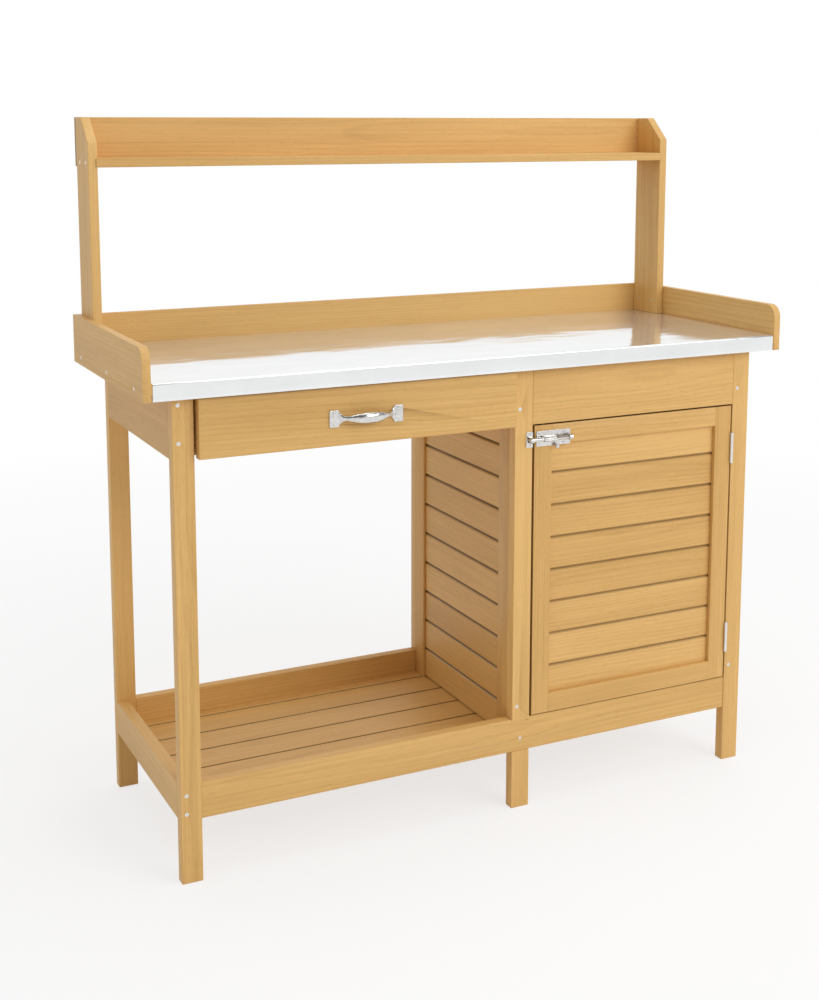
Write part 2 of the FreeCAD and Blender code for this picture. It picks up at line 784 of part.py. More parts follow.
upright("hutch_upright_left", f"-{SIDE_IN}", "upright_thickness - shelf_housing")
upright("hutch_upright_right", UPRIGHT_IN, "0")
keep(
    "hutch_shelf",
    block(
        "hutch_shelf",
        (f"-{UPRIGHT_IN} - shelf_housing", f"{UPRIGHT_FRONT} - shelf_proud", SHELF_BOTTOM),
        (f"2 * ({UPRIGHT_IN} + shelf_housing)", "upright_depth + shelf_proud", "shelf_thickness"),
    ),
)
keep(
    "hutch_back_board",
    block(
        "hutch_back_board",
        (f"-{SIDE_IN}", BACK, SHELF_BOTTOM),
        (f"2 * {SIDE_IN}", "back_board_thickness", "shelf_drop"),
    ),
)

# Drawer.

DRAWER_LEFT = f"({FRAME_LEFT} + leg_width + drawer_side_gap)"
DRAWER_WIDTH = "(drawer_bay_width - 2 * drawer_side_gap)"
DRAWER_RIGHT = f"({DRAWER_LEFT} + {DRAWER_WIDTH})"
DRAWER_FRONT = f"({FRONT} - drawer_front_proud)"
DRAWER_FRONT_BOTTOM = f"({TOP_RAIL_BOTTOM} + drawer_front_lift)"
DRAWER_BOX_FRONT = f"({DRAWER_FRONT} + drawer_front_thickness)"
DRAWER_BOX_LENGTH = f"({BACK_IN} - drawer_back_space - {DRAWER_BOX_FRONT})"
RUNNER_BOTTOM = f"({TOP_RAIL_BOTTOM} + runner_lift)"
DRAWER_BOX_BOTTOM = f"({RUNNER_BOTTOM} + runner_height + runner_clearance)"
GROOVE_BOTTOM = f"({DRAWER_BOX_BOTTOM} + drawer_bottom_lift - fit_clearance)"
GROOVE_HEIGHT = "(drawer_bottom_thickness + 2 * fit_clearance)"

front_slot = f"({GROOVE_BOTTOM} - {DRAWER_FRONT_BOTTOM})"
drawer_front = padded_body(
    "drawer_front",
    "YZ_Plane",
    [
        ("0", "0"),
        ("drawer_front_thickness", "0"),
        ("drawer_front_thickness", front_slot),
        ("drawer_front_thickness - drawer_groove", front_slot),
        ("drawer_front_thickness - drawer_groove", f"{front_slot} + {GROOVE_HEIGHT}"),
        ("drawer_front_thickness", f"{front_slot} + {GROOVE_HEIGHT}"),
        ("drawer_front_thickness", "drawer_front_height"),
        ("0", "drawer_front_height"),
    ],
    DRAWER_WIDTH,
    (DRAWER_LEFT, DRAWER_FRONT, DRAWER_FRONT_BOTTOM),
)
round_edges(
    drawer_front,
    "drawer_front_edges",
    lambda edge: edge.BoundBox.YMax < 1e-3,
    "drawer_front_round",
)
keep("drawer_front", drawer_front)


def drawer_side(name, left, groove_inside_left):
    slot = f"({GROOVE_BOTTOM} - {DRAWER_BOX_BOTTOM})"
    if groove_inside_left:
        outline = [
            ("0", "0"),
            ("drawer_side_thickness", "0"),
            ("drawer_side_thickness", "drawer_side_height"),
            ("0", "drawer_side_height"),
            ("0", f"{slot} + {GROOVE_HEIGHT}"),
            ("drawer_groove", f"{slot} + {GROOVE_HEIGHT}"),
            ("drawer_groove", slot),
            ("0", slot),
        ]
    else:
        outline = [
            ("0", "0"),
            ("drawer_side_thickness", "0"),
            ("drawer_side_thickness", slot),
            ("drawer_side_thickness - drawer_groove", slot),
            ("drawer_side_thickness - drawer_groove", f"{slot} + {GROOVE_HEIGHT}"),
            ("drawer_side_thickness", f"{slot} + {GROOVE_HEIGHT}"),
            ("drawer_side_thickness", "drawer_side_height"),
            ("0", "drawer_side_height"),
        ]
    corner = (left, DRAWER_BOX_FRONT, DRAWER_BOX_BOTTOM)
    keep(name, padded_body(name, "XZ_Plane", outline, DRAWER_BOX_LENGTH, corner))


drawer_side("drawer_side_left", DRAWER_LEFT, False)
drawer_side("drawer_side_right", f"{DRAWER_RIGHT} - drawer_side_thickness", True)
INSIDE_WIDTH = f"({DRAWER_WIDTH} - 2 * drawer_side_thickness)"
BOTTOM_TOP = f"({GROOVE_BOTTOM} + {GROOVE_HEIGHT})"
keep(
    "drawer_back",
    block(
        "drawer_back",
        (
            f"{DRAWER_LEFT} + drawer_side_thickness",
            f"{DRAWER_BOX_FRONT} + {DRAWER_BOX_LENGTH} - drawer_back_thickness",
            BOTTOM_TOP,
        ),
        (
            INSIDE_WIDTH,
            "drawer_back_thickness",
            f"{DRAWER_BOX_BOTTOM} + drawer_side_height - {BOTTOM_TOP}",
        ),
    ),
)
seat = "(drawer_groove - end_clearance)"
keep(
    "drawer_bottom",
    block(
        "drawer_bottom",
        (
            f"{DRAWER_LEFT} + drawer_side_thickness - {seat}",
            f"{DRAWER_BOX_FRONT} - {seat}",
            f"{GROOVE_BOTTOM} + fit_clearance",
        ),
        (f"{INSIDE_WIDTH} + 2 * {seat}", f"{DRAWER_BOX_LENGTH} + {seat}", "drawer_bottom_thickness"),
    ),
)

# Drawer runners: the left one has a guide that fills the space between the rail and the drawer.

RUNNER_LEFT = f"({FRAME_LEFT} + leg_thickness)"
left_guide_width = "(leg_width - leg_thickness)"
runner = block(
    "left_runner_base",
    (RUNNER_LEFT, FRONT_IN, RUNNER_BOTTOM),
    (f"{left_guide_width} + runner_width", INNER_DEPTH, "runner_height"),
)
guide = block(
    "left_runner_guide",
    (RUNNER_LEFT, FRONT_IN, f"{RUNNER_BOTTOM} + runner_height"),
    (left_guide_width, INNER_DEPTH, "drawer_side_height"),
)
keep("drawer_runner_left", fuse("drawer_runner_left", runner, guide))
keep(
    "drawer_runner_right",
    block(
        "drawer_runner_right",
        (f"{POST_LEFT} - runner_width", FRONT_IN, RUNNER_BOTTOM),
        ("runner_width", INNER_DEPTH, "runner_height"),
    ),
)

# Pull handle: two plates that narrow towards a grip, which bows out and swells at its middle.

HANDLE_X = f"({DRAWER_LEFT} + {DRAWER_WIDTH} / 2)"
HANDLE_Z = f"({DRAWER_FRONT_BOTTOM} + drawer_front_height / 2 - handle_drop)"
plate_bottom = f"({HANDLE_Z} - handle_plate_height / 2)"
plate_face = f"({DRAWER_FRONT} - handle_plate_thickness)"
plate_length = "(handle_plate_width + handle_flare)"
neck_low = "(handle_plate_height / 2 - handle_root_height)"
neck_high = "(handle_plate_height / 2 + handle_root_height)"
plates = [
    padded_body(
        f"handle_plate_{side}",
        "XZ_Plane",
        outline,
        "handle_plate_thickness",
        (left, plate_face, plate_bottom),
    )
    for side, left, outline in (
        (
            "left",
            f"{HANDLE_X} - handle_length / 2",
            [
                ("0", "0"),
                ("handle_plate_width", "0"),
                (plate_length, neck_low),
                (plate_length, neck_high),
                ("handle_plate_width", "handle_plate_height"),
                ("0", "handle_plate_height"),
            ],
        ),
        (
            "right",
            f"{HANDLE_X} + handle_length / 2 - {plate_length}",
            [
                ("0", neck_low),
                ("handle_flare", "0"),
                (plate_length, "0"),
                (plate_length, "handle_plate_height"),
                ("handle_flare", "handle_plate_height"),
                ("0", neck_high),
            ],
        ),
    )
]
rise = "(handle_projection - handle_swell_depth - handle_plate_thickness / 2)"
GRIP_STATIONS = (-1, -0.75, -0.4, 0, 0.4, 0.75, 1)  # along half the chord from the middle
sections = []
for count, along in enumerate(GRIP_STATIONS):
    swell = 1 - along**2  # 0 at the roots, 1 at the middle
    section = doc.addObject("Part::Ellipse", f"grip_section_{count}")
    section.Placement = Placement(Vector(), Rotation(Vector(0, 1, 0), -90))
    for radius, size in (("MajorRadius", "height"), ("MinorRadius", "depth")):
        root, middle = f"handle_root_{size}", f"handle_swell_{size}"
        bind(section, radius, f"{root} + ({middle} - {root}) * {swell**2:.4f}")
    out_from_plate = f"({rise} * {swell:.4f} + handle_plate_thickness / 2)"
    place(
        section,
        (f"{HANDLE_X} + {along} * handle_chord / 2", f"{DRAWER_FRONT} - {out_from_plate}", HANDLE_Z),
    )
    sections.append(section)
grip = doc.addObject("Part::Loft", "handle_grip")
grip.Sections = sections
grip.Solid = True
behind_plates = block(
    "behind_handle",
    (f"{HANDLE_X} - handle_length", DRAWER_FRONT, f"{HANDLE_Z} - handle_length"),
    ("2 * handle_length", "handle_length", "2 * handle_length"),
)
whole_handle = fuse("drawer_handle", *plates, grip)
keep("drawer_handle", cut("drawer_handle", whole_handle, behind_plates))

# Door: grooved stiles and rails round eight matched boards. The rails' stub tenons fill the grooves.

DOOR_WIDTH = f"({DOOR_RIGHT} - {DOOR_LEFT})"
DOOR_HEIGHT = f"({DOOR_TOP} - {DOOR_BOTTOM})"
near = "(door_recess - fit_clearance)"
far = "(door_recess + board_thickness + fit_clearance)"
door_groove_left = [
    ("0", "0"),
    ("stile_width", "0"),
    ("stile_width", near),
    ("stile_width - stile_groove", near),
    ("stile_width - stile_groove", far),
    ("stile_width", far),
    ("stile_width", "door_thickness"),
    ("0", "door_thickness"),
]
door_groove_right = [
    ("0", "0"),
    ("stile_width", "0"),
    ("stile_width", "door_thickness"),
    ("0", "door_thickness"),
    ("0", far),
    ("stile_groove", far),
    ("stile_groove", near),
    ("0", near),
]
for name, outline, left in (
    ("door_stile_left", door_groove_left, DOOR_LEFT),
    ("door_stile_right", door_groove_right, f"{DOOR_RIGHT} - stile_width"),
):
    stile = padded_body(name, "XY_Plane", outline, DOOR_HEIGHT, (left, FRONT, DOOR_BOTTOM))
    keep(name, stile)

OPENING_WIDTH = f"({DOOR_WIDTH} - 2 * stile_width)"
board_seat = "(door_board_seat + fit_clearance)"
top_seat_height = f"({DOOR_HEIGHT} - 2 * stile_width + door_board_seat)"
door_boards = int(number(top_seat_height) / number("board_cover")) + 1
stack_height = f"({door_boards} * board_cover)"
top_seat = f"({stack_height} - {top_seat_height} + fit_clearance)"


def door_rail(name, bottom, outline, tenon_bottom, tenon_height):
    """A rail between the stiles with a stub tenon at each end, beside the rail's own groove."""
    rail = padded_body(
        name, "YZ_Plane", outline, OPENING_WIDTH, (f"{DOOR_LEFT} + stile_width", FRONT, bottom)
    )
    tenon_length = "(stile_groove - end_clearance)"
    tenons = [
        block(
            f"{name}_tenon_{side}",
            (left, f"{FRONT} + door_recess", f"{bottom} + {tenon_bottom}"),
            (tenon_length, "board_thickness", tenon_height),
        )
        for side, left in (
            ("left", f"{DOOR_LEFT} + stile_width - {tenon_length}"),
            ("right", f"{DOOR_RIGHT} - stile_width"),
        )
    ]
    keep(name, fuse(name, rail, *tenons))


door_rail(
    "door_bottom_rail",
    DOOR_BOTTOM,
    [
        ("0", "0"),
        ("door_thickness", "0"),
        ("door_thickness", "stile_width"),
        (far, "stile_width"),
        (far, f"stile_width - {board_seat}"),
        (near, f"stile_width - {board_seat}"),
        (near, "stile_width"),
        ("0", "stile_width"),
    ],
    "0",
    f"stile_width - {board_seat}",
)
door_rail(
    "door_top_rail",
    f"{DOOR_TOP} - stile_width",
    [
        ("0", "0"),
        (near, "0"),
        (near, top_seat),
        (far, top_seat),
        (far, "0"),
        ("door_thickness", "0"),
        ("door_thickness", "stile_width"),
        ("0", "stile_width"),
    ],
    top_seat,
    f"stile_width - {top_seat}",
)
board_end = "(stile_groove - end_clearance)"
door_stack = padded_body(
    "door_boards",
    "YZ_Plane",
    board_outline("board_cover - board_gap", flipped=False, tongue=False),
    f"{OPENING_WIDTH} + 2 * {board_end}",
    (
        f"{DOOR_LEFT} + stile_width - {board_end}",
        f"{FRONT} + door_recess",
        f"{DOOR_BOTTOM} + stile_width - door_board_seat",
    ),
)
door_row = door_stack.newObject("PartDesign::LinearPattern", "door_board_row")
door_row.Originals = [door_stack.Tip]
door_row.Direction = (origin_feature(door_stack, "Z_Axis"), [""])
door_row.Mode = "Spacing"
bind(door_row, "Offset", "board_cover")
door_row.Occurrences = door_boards
door_stack.Tip = door_row
keep("door_boards", door_stack)

# Butt hinges. The frame leaf carries the end knuckles and the door leaf the middle one.

HINGE_X = f"({DOOR_RIGHT} + hinge_gap / 2)"
HINGE_Y = f"({FRONT} - hinge_axis_proud)"
LOWER_HINGE = f"({DOOR_BOTTOM} + hinge_inset - hinge_height / 2)"
UPPER_HINGE = f"({DOOR_TOP} - hinge_inset - hinge_height / 2)"
KNUCKLE = "(hinge_height / 3)"
leaf_front = f"({HINGE_Y} + knuckle_radius + knuckle_gap)"


def hinge_leaf(name, left, bottom, knuckles):
    """A flat leaf with its knuckles, each a (start, length) along the pin, bored for the pin."""
    pieces = [
        block(
            f"{name}_leaf",
            (left, leaf_front, bottom),
            ("leaf_thickness", f"{FRONT} + leaf_depth - {leaf_front}", "hinge_height"),
        )
    ]
    for count, (start, length) in enumerate(knuckles):
        foot = f"({bottom} + {start})"
        pieces.append(
            rod(f"{name}_knuckle_{count}", (HINGE_X, HINGE_Y, foot), "knuckle_radius", length)
        )
        pieces.append(
            block(
                f"{name}_neck_{count}",
                (left, HINGE_Y, foot),
                ("leaf_thickness", f"{leaf_front} - ({HINGE_Y})", length),
            )
        )
    bore = rod(
        f"{name}_bore",
        (HINGE_X, HINGE_Y, f"{bottom} - 1"),
        "hinge_pin_radius + hinge_pin_clearance",
        "hinge_height + 2",
    )
    keep(name, cut(name, fuse(name, *pieces), bore))


pins = []
for place_name, bottom in (("upper", UPPER_HINGE), ("lower", LOWER_HINGE)):
    hinge_leaf(
        f"{place_name}_hinge_frame_leaf",
        f"{RIGHT_LEG} - leaf_thickness",
        bottom,
        [("0", KNUCKLE), (f"2 * {KNUCKLE}", KNUCKLE)],
    )
    hinge_leaf(
        f"{place_name}_hinge_door_leaf",
        DOOR_RIGHT,
        bottom,
        [(f"{KNUCKLE} + knuckle_gap", f"{KNUCKLE} - 2 * knuckle_gap")],
    )
    pins.append(
        rod(f"{place_name}_pin", (HINGE_X, HINGE_Y, bottom), "hinge_pin_radius", "hinge_height")
    )
hinge_pins = doc.addObject("Part::Compound", "hinge_pins_pair")
hinge_pins.Links = pins
keep("hinge_pins", hinge_pins)

# Barrel bolt: the bolt runs in a barrel and a bracket on the door's plate and shoots into a keep.

BOLT_Z = f"({DOOR_TOP} - bolt_drop)"
BOLT_Y = f"({FRONT} - bolt_plate_thickness - bolt_radius - bolt_wall)"
PLATE_LEFT = f"({DOOR_LEFT} + bolt_plate_inset)"
BARREL_LEFT = f"({PLATE_LEFT} + barrel_start)"
BRACKET_LEFT = f"({PLATE_LEFT} + bolt_plate_length - bracket_length)"
shell_radius = "(bolt_radius + bolt_wall)"


def hoop(name, left, length):
    """A round shell on a foot that stands on the plate."""
    shell = rod(f"{name}_shell", (left, BOLT_Y, BOLT_Z), shell_radius, length, "x")
    foot = block(
        f"{name}_foot",
        (left, BOLT_Y, f"{BOLT_Z} - {shell_radius}"),
        (length, f"{FRONT} - ({BOLT_Y})", f"2 * {shell_radius}"),
    )
    return [shell, foot]


bolt_plate = block(
    "bolt_plate_flat",
    (PLATE_LEFT, f"{FRONT} - bolt_plate_thickness", f"{BOLT_Z} - bolt_plate_height / 2"),
    ("bolt_plate_length", "bolt_plate_thickness", "bolt_plate_height"),
)
barrel = hoop("barrel", BARREL_LEFT, "barrel_length")
bracket = hoop("bracket", BRACKET_LEFT, "bracket_length")
barrel_bore = rod(
    "barrel_bore",
    (PLATE_LEFT, BOLT_Y, BOLT_Z),
    "bolt_radius + bolt_clearance",
    "bolt_plate_length",
    "x",
)
keep("bolt_plate", cut("bolt_plate", fuse("bolt_plate", bolt_plate, *barrel, *bracket), barrel_bore))

KEEP_LEFT = f"({POST_RIGHT} - keep_width)"
keep_plate = block(
    "keep_plate",
    (KEEP_LEFT, f"{FRONT} - bolt_plate_thickness", f"{BOLT_Z} - keep_height / 2"),
    ("keep_width", "bolt_plate_thickness", "keep_height"),
)
keep_hoop = hoop("keep_hoop", f"{POST_RIGHT} - keep_hoop_inset - keep_hoop", "keep_hoop")
keep_bore = rod(
    "keep_bore", (KEEP_LEFT, BOLT_Y, BOLT_Z), "bolt_radius + keep_clearance", "keep_width", "x"
)
keep("bolt_keep", cut("bolt_keep", fuse("bolt_keep", keep_plate, *keep_hoop), keep_bore))

bolt_start = f"({DOOR_LEFT} - bolt_reach)"
stem_x = f"({BARREL_LEFT} + barrel_length + knob_offset)"
bolt_bar = rod("bolt_bar", (bolt_start, BOLT_Y, BOLT_Z), "bolt_radius", "bolt_length", "x")
stem = rod("knob_stem", (stem_x, BOLT_Y, BOLT_Z), "knob_stem_radius", "knob_drop", "-z")
knob = doc.addObject("Part::Sphere", "knob_ball")
bind(knob, "Radius", "knob_radius")
place(knob, (stem_x, BOLT_Y, f"{BOLT_Z} - knob_drop"))
keep("sliding_bolt", fuse("sliding_bolt", bolt_bar, stem, knob))

# Screws. One master of each size is turned, and its copies are set where the screws go. Every piece
# that a screw enters gets a pilot hole.

PILOT_LEAD = 1  # a pilot hole runs this far past both ends of its screw


def screw_master(kind):
    """A screw that stands on its tip at the origin; its head's seat is at the screw's length."""
    length, shank, head = f"{kind}_length", f"{kind}_shank", f"{kind}_head"
    outline = [("0", "0"), (shank, "0")]
    if kind == "fitting_screw":
        dome = f"{kind}_dome"
        outline += [
            (shank, length),
            (head, length),
            (head, f"{length} + {dome} / 2"),
            (f"{kind}_crown", f"{length} + {dome}"),
            ("0", f"{length} + {dome}"),
        ]
    else:
        outline += [(shank, f"{length} - {kind}_cone"), (head, length), ("0", length)]
    return revolved_body(kind, outline)


masters = {kind: screw_master(kind) for kind in ("wood_screw", "short_screw", "fitting_screw")}
screw_groups = {}
pilot_holes = {}


def screw(group, kind, seat_point, outward, *entered):
    """A screw whose head sits at seat_point, with outward away from the surface."""
    seat_at = Vector(*(number(text) for text in seat_point))
    out = Vector(*outward)
    inward = out * -1
    length = number(f"{kind}_length")
    copy = masters[kind].Shape.copy()
    copy.Placement = Placement(seat_at - out * length, Rotation(Vector(0, 0, 1), out))
    screw_groups.setdefault(group, []).append(copy)
    clearance = number("screw_clearance")
    shank = number(f"{kind}_shank") + clearance
    hole = Part.makeCylinder(shank, length + 2 * PILOT_LEAD, seat_at + out * PILOT_LEAD, inward)
    if kind != "fitting_screw":
        head = number(f"{kind}_head") + clearance
        cone = Part.makeCone(head, shank, number(f"{kind}_cone"), seat_at, inward)
        mouth = Part.makeCylinder(head, PILOT_LEAD, seat_at + out * PILOT_LEAD, inward)
        hole = hole.multiFuse([cone, mouth])
    for name in entered:
        pilot_holes.setdefault(name, []).append(hole)


to_front, to_back, to_left, to_right = (0, -1, 0), (0, 1, 0), (-1, 0, 0), (1, 0, 0)
low_screw, high_screw = "(rail_bottom + rail_screw_low)", "(rail_bottom + rail_screw_high)"
top_screw_low = f"({TOP_RAIL_BOTTOM} + top_rail_screw_low)"
top_screw_high = f"({LEG_TOP} - top_rail_screw_drop)"
for leg_name, y, out in (("leg_front_left", FRONT, to_front), ("leg_back_left", BACK, to_back)):
    for rail_name, heights in (
        ("left_bottom_rail", (low_screw, high_screw)),
        ("left_top_rail", (top_screw_low, top_screw_high)),
    ):
        for z in heights:
            seat_point = (f"{FRAME_LEFT} + screw_edge", y, z)
            screw("frame_screws", "wood_screw", seat_point, out, leg_name, rail_name)
stile_screw_low = f"({RAIL_TOP} + panel_screw_low)"
front_stile_high = f"({TOP_RAIL_BOTTOM} + panel_screw_high)"
back_stile_high = f"({TOP_RAIL_BOTTOM} - panel_screw_drop)"
for leg_name, left, stile, y, out, high in (
    ("middle_front_leg", POST_LEFT, "partition_front_stile", FRONT, to_front, front_stile_high),
    ("middle_back_leg", POST_LEFT, "partition_back_stile", BACK, to_back, back_stile_high),
    ("leg_front_right", RIGHT_LEG, "cabinet_side_front_stile", FRONT, to_front, front_stile_high),
    ("leg_back_right", RIGHT_LEG, "cabinet_side_back_stile", BACK, to_back, back_stile_high),
):
    for z in (stile_screw_low, high):
        screw("frame_screws", "wood_screw", (f"{left} + screw_edge", y, z), out, leg_name, stile)
lap_z = "(rail_bottom + lap_screw_lift)"
lap_x = f"({POST_LEFT} + leg_width / 2)"
for rail_name, leg_name, y, out in (
    ("front_bottom_rail", "middle_front_leg", f"{FRONT} + rail_setback", to_front),
    ("back_bottom_rail", "middle_back_leg", f"{BACK} - rail_setback", to_back),
):
    screw("frame_screws", "short_screw", (lap_x, y, lap_z), out, rail_name, leg_name)
side_screw_z = f"({LEG_TOP} + side_screw_lift)"
for name, x, out in (
    ("side_board_left", "-bench_width / 2", to_left),
    ("side_board_right", "bench_width / 2", to_right),
):
    for along in ("side_screw_front", "side_screw_middle", "side_screw_back"):
        seat_point = (x, f"{TOP_FRONT} + {along}", side_screw_z)
        screw("frame_screws", "wood_screw", seat_point, out, name, "tabletop_board")
for name, board, outer, inner, out in (
    ("hutch_upright_left", "side_board_left", f"-{SIDE_IN}", f"-{UPRIGHT_IN}", to_left),
    ("hutch_upright_right", "side_board_right", SIDE_IN, UPRIGHT_IN, to_right),
):
    inward = tuple(-value for value in out)
    for along in ("upright_screw_front", "upright_screw_back"):
        y = f"{UPRIGHT_FRONT} + {along}"
        shelf_z = f"({SHELF_BOTTOM} + shelf_thickness / 2)"
        screw("frame_screws", "wood_screw", (outer, y, shelf_z), out, name, "hutch_shelf")
        foot_z = "(worktop_height + upright_screw_lift)"
        screw("frame_screws", "short_screw", (inner, y, foot_z), inward, name, board)
for sign in "+-":
    keep_z = f"({BOLT_Z} {sign} keep_screw_spread)"
    seat_point = (f"{KEEP_LEFT} + keep_width / 2", f"{FRONT} - bolt_plate_thickness", keep_z)
    screw("frame_screws", "fitting_screw", seat_point, to_front, "bolt_keep", "middle_front_leg")
    for x, wood in (
        (f"{PLATE_LEFT} + plate_screw_near", "door_stile_left"),
        (f"{PLATE_LEFT} + bolt_plate_length - plate_screw_far", "door_top_rail"),
    ):
        plate_z = f"({BOLT_Z} {sign} plate_screw_spread)"
        seat_point = (x, f"{FRONT} - bolt_plate_thickness", plate_z)
        screw("door_screws", "fitting_screw", seat_point, to_front, "bolt_plate", wood)
for side in "+-":
    for sign in "+-":
        x = f"{HANDLE_X} {side} (handle_length - handle_plate_width) / 2"
        z = f"{HANDLE_Z} {sign} handle_screw_spread"
        seat_point = (x, plate_face, z)
        entered = ("drawer_handle", "drawer_front")
        screw("drawer_screws", "fitting_screw", seat_point, to_front, *entered)

for group, copies in screw_groups.items():
    screws = doc.addObject("Part::Feature", group)
    screws.Shape = Part.makeCompound(copies)
    keep(group, screws)
for name, holes in pilot_holes.items():
    tool = doc.addObject("Part::Feature", f"{name}_pilots")
    tool.Shape = Part.makeCompound(holes)
    drilled = doc.addObject("Part::Cut", f"{name}_drilled")
    drilled.Base = nodes[name]
    drilled.Tool = tool
    nodes[name].Label = f"{name}_undrilled"
    keep(name, drilled)

# Every object has to be sound before anything is written.

doc.recompute()
for thing in doc.Objects:
    if {"Invalid", "Error"} & set(thing.State):
        raise RuntimeError(f"{thing.Label} failed: {thing.State}")
for name, thing in nodes.items():
    if thing.Shape.isNull() or not thing.Shape.isValid() or not thing.Shape.Solids:
        raise RuntimeError(f"{name} has no valid solid")

os.makedirs("parts", exist_ok=True)
for name, thing in sorted(nodes.items()):
    thing.Shape.exportStep(os.path.join("parts", f"{name}.step"))
    box = thing.Shape.optimalBoundingBox(False)
    print(
        f"{name:28s} {len(thing.Shape.Solids):3d} solids "
        f"x {box.XMin:8.1f} {box.XMax:8.1f}  y {box.YMin:7.1f} {box.YMax:7.1f}  "
        f"z {box.ZMin:7.1f} {box.ZMax:7.1f}"
    )
print(len(nodes), "nodes")
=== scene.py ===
import math
import random

import bmesh
import bpy
from bpy.props import (
    FloatProperty,
    FloatVectorProperty,
    IntProperty,
    PointerProperty,
)
from mathutils import Matrix, Vector


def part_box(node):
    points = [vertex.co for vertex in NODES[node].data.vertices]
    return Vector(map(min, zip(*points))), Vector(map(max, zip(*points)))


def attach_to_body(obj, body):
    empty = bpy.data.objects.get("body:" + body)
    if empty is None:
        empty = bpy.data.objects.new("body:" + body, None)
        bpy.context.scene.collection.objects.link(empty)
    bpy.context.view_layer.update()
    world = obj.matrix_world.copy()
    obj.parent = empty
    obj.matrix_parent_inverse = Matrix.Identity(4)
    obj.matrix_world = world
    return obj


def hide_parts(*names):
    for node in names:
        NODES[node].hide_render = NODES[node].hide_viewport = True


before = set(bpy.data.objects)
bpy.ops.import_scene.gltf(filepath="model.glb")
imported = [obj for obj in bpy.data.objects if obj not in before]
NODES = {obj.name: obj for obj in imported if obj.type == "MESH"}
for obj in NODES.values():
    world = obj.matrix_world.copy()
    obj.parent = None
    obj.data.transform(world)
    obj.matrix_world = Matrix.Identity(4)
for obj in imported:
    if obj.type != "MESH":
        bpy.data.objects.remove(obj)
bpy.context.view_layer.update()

# Dresses the potting bench: boards with eased edges and a grain that follows each board, a
# folded galvanised top, cast handle, barrel bolt, hinges, screws and a studio. Sizes are in metres,
# +X is the bench's right, -Y its front and +Z up.

bl_info = {
    "name": "Potting Bench",
    "version": (1, 0, 0),
    "blender": (4, 5, 0),
    "location": "View3D > Sidebar > Bench",
    "description": "Boards, metalwork and studio of a potting bench over its solid model",
    "category": "Object",
}

# painted shade: the dark brown that joints, V grooves and sides facing narrow gaps are darkened towards
JOINT_SHADE = (0.085, 0.045, 0.018, 1)
FLOOR_RADIUS = 14.0
# the floor whitens over this stretch, measured from under the bench
FADE_START, FADE_LENGTH = 0.9, 2.2
MM = 0.001
AXES = {"x": Vector((1, 0, 0)), "y": Vector((0, 1, 0)), "z": Vector((0, 0, 1))}


def size_prop(name, default, description):
    return FloatProperty(
        name=name, description=description, default=default, min=0.0, subtype="DISTANCE", unit="LENGTH"
    )


def colour_prop(name, default, description):
    return FloatVectorProperty(
        name=name, description=description, default=default, size=3, min=0.0, max=1.0, subtype="COLOR"
    )


class BenchWoodSettings(bpy.types.PropertyGroup):
    light: colour_prop("Light Wood", (0.81, 0.497, 0.170), "Colour of the early wood")
    dark: colour_prop("Dark Wood", (0.59, 0.325, 0.088), "Colour of the late wood and fibres")
    thin_light: colour_prop("Thin Board Light", (0.74, 0.50, 0.26), "Early wood of the drawer's bottom")
    thin_dark: colour_prop("Thin Board Dark", (0.58, 0.36, 0.16), "Late wood of the drawer's bottom")
    edge: size_prop("Eased Edge", 0.0011, "Bevel along the boards' sawn edges")
    ring: size_prop("Ring Spacing", 0.0042, "Distance between growth rings")
    board_pitch: size_prop("Board Cover", 0.0585, "Height that each matched board covers")
    board_gap: size_prop("Board Gap", 0.0010, "Dark gap at the bottom of the V joint")
    board_bevel: size_prop("V Joint", 0.0030, "Bevel on each side of a V joint")
    slat_pitch: size_prop("Slat Pitch", 0.0695, "Floor slats' spacing")
    slat_gap: size_prop("Slat Gap", 0.003, "Gap between two floor slats")
    seed: IntProperty(name="Seed", description="Picks each board's grain and tone", default=7)


class BenchMetalSettings(bpy.types.PropertyGroup):
    sheet: colour_prop("Galvanised Sheet", (0.87, 0.885, 0.885), "Colour of the worktop's sheet")
    polished: colour_prop("Polished Steel", (0.70, 0.69, 0.67), "Colour of the handle and the bolt")
    satin: colour_prop("Satin Steel", (0.80, 0.79, 0.77), "Colour of hinges and screws")
    sheet_thickness: size_prop("Sheet Thickness", 0.0008, "Worktop's sheet")
    fold: size_prop("Fold Radius", 0.0025, "Outer radius of the sheet's front fold")
    hem: size_prop("Hem", 0.0011, "Radius of the rolled lower edge of the lip")
    recess: size_prop("Screw Recess", 0.0011, "Depth of the cross in a screw's head")


class BenchStudioSettings(bpy.types.PropertyGroup):
    camera_place: FloatVectorProperty(
        name="Camera Place",
        description="Where the camera stands",
        default=(-1.1786, -2.3098, 1.2027),
        size=3,
        subtype="TRANSLATION",
        unit="LENGTH",
    )
    pan: FloatProperty(
        name="Pan",
        description="Camera turned to the right",
        default=math.radians(25.94),
        subtype="ANGLE",
        unit="ROTATION",
    )
    tilt: FloatProperty(
        name="Tilt",
        description="Camera tipped down",
        default=math.radians(8.23),
        subtype="ANGLE",
        unit="ROTATION",
    )
    lens: FloatProperty(
        name="Lens", description="Focal length", default=52.585, min=10.0, unit="CAMERA"
    )
    shift: FloatProperty(
        name="Shift", description="Lens shift up, as a part of the long side", default=-0.165
    )
    floor: colour_prop("Floor", (0.93, 0.93, 0.93), "Colour of the studio floor")
    key: FloatProperty(name="Key Light", description="Power of the key light", default=46.0, unit="POWER")


# Shader nodes


def add_node(tree, kind, **values):
    """A node with its settings; names with a socket of that name set the socket instead."""
    node = tree.nodes.new(kind)
    for name, value in values.items():
        if hasattr(node, name):
            setattr(node, name, value)
        else:
            node.inputs[name.replace("_", " ")].default_value = value
    return node


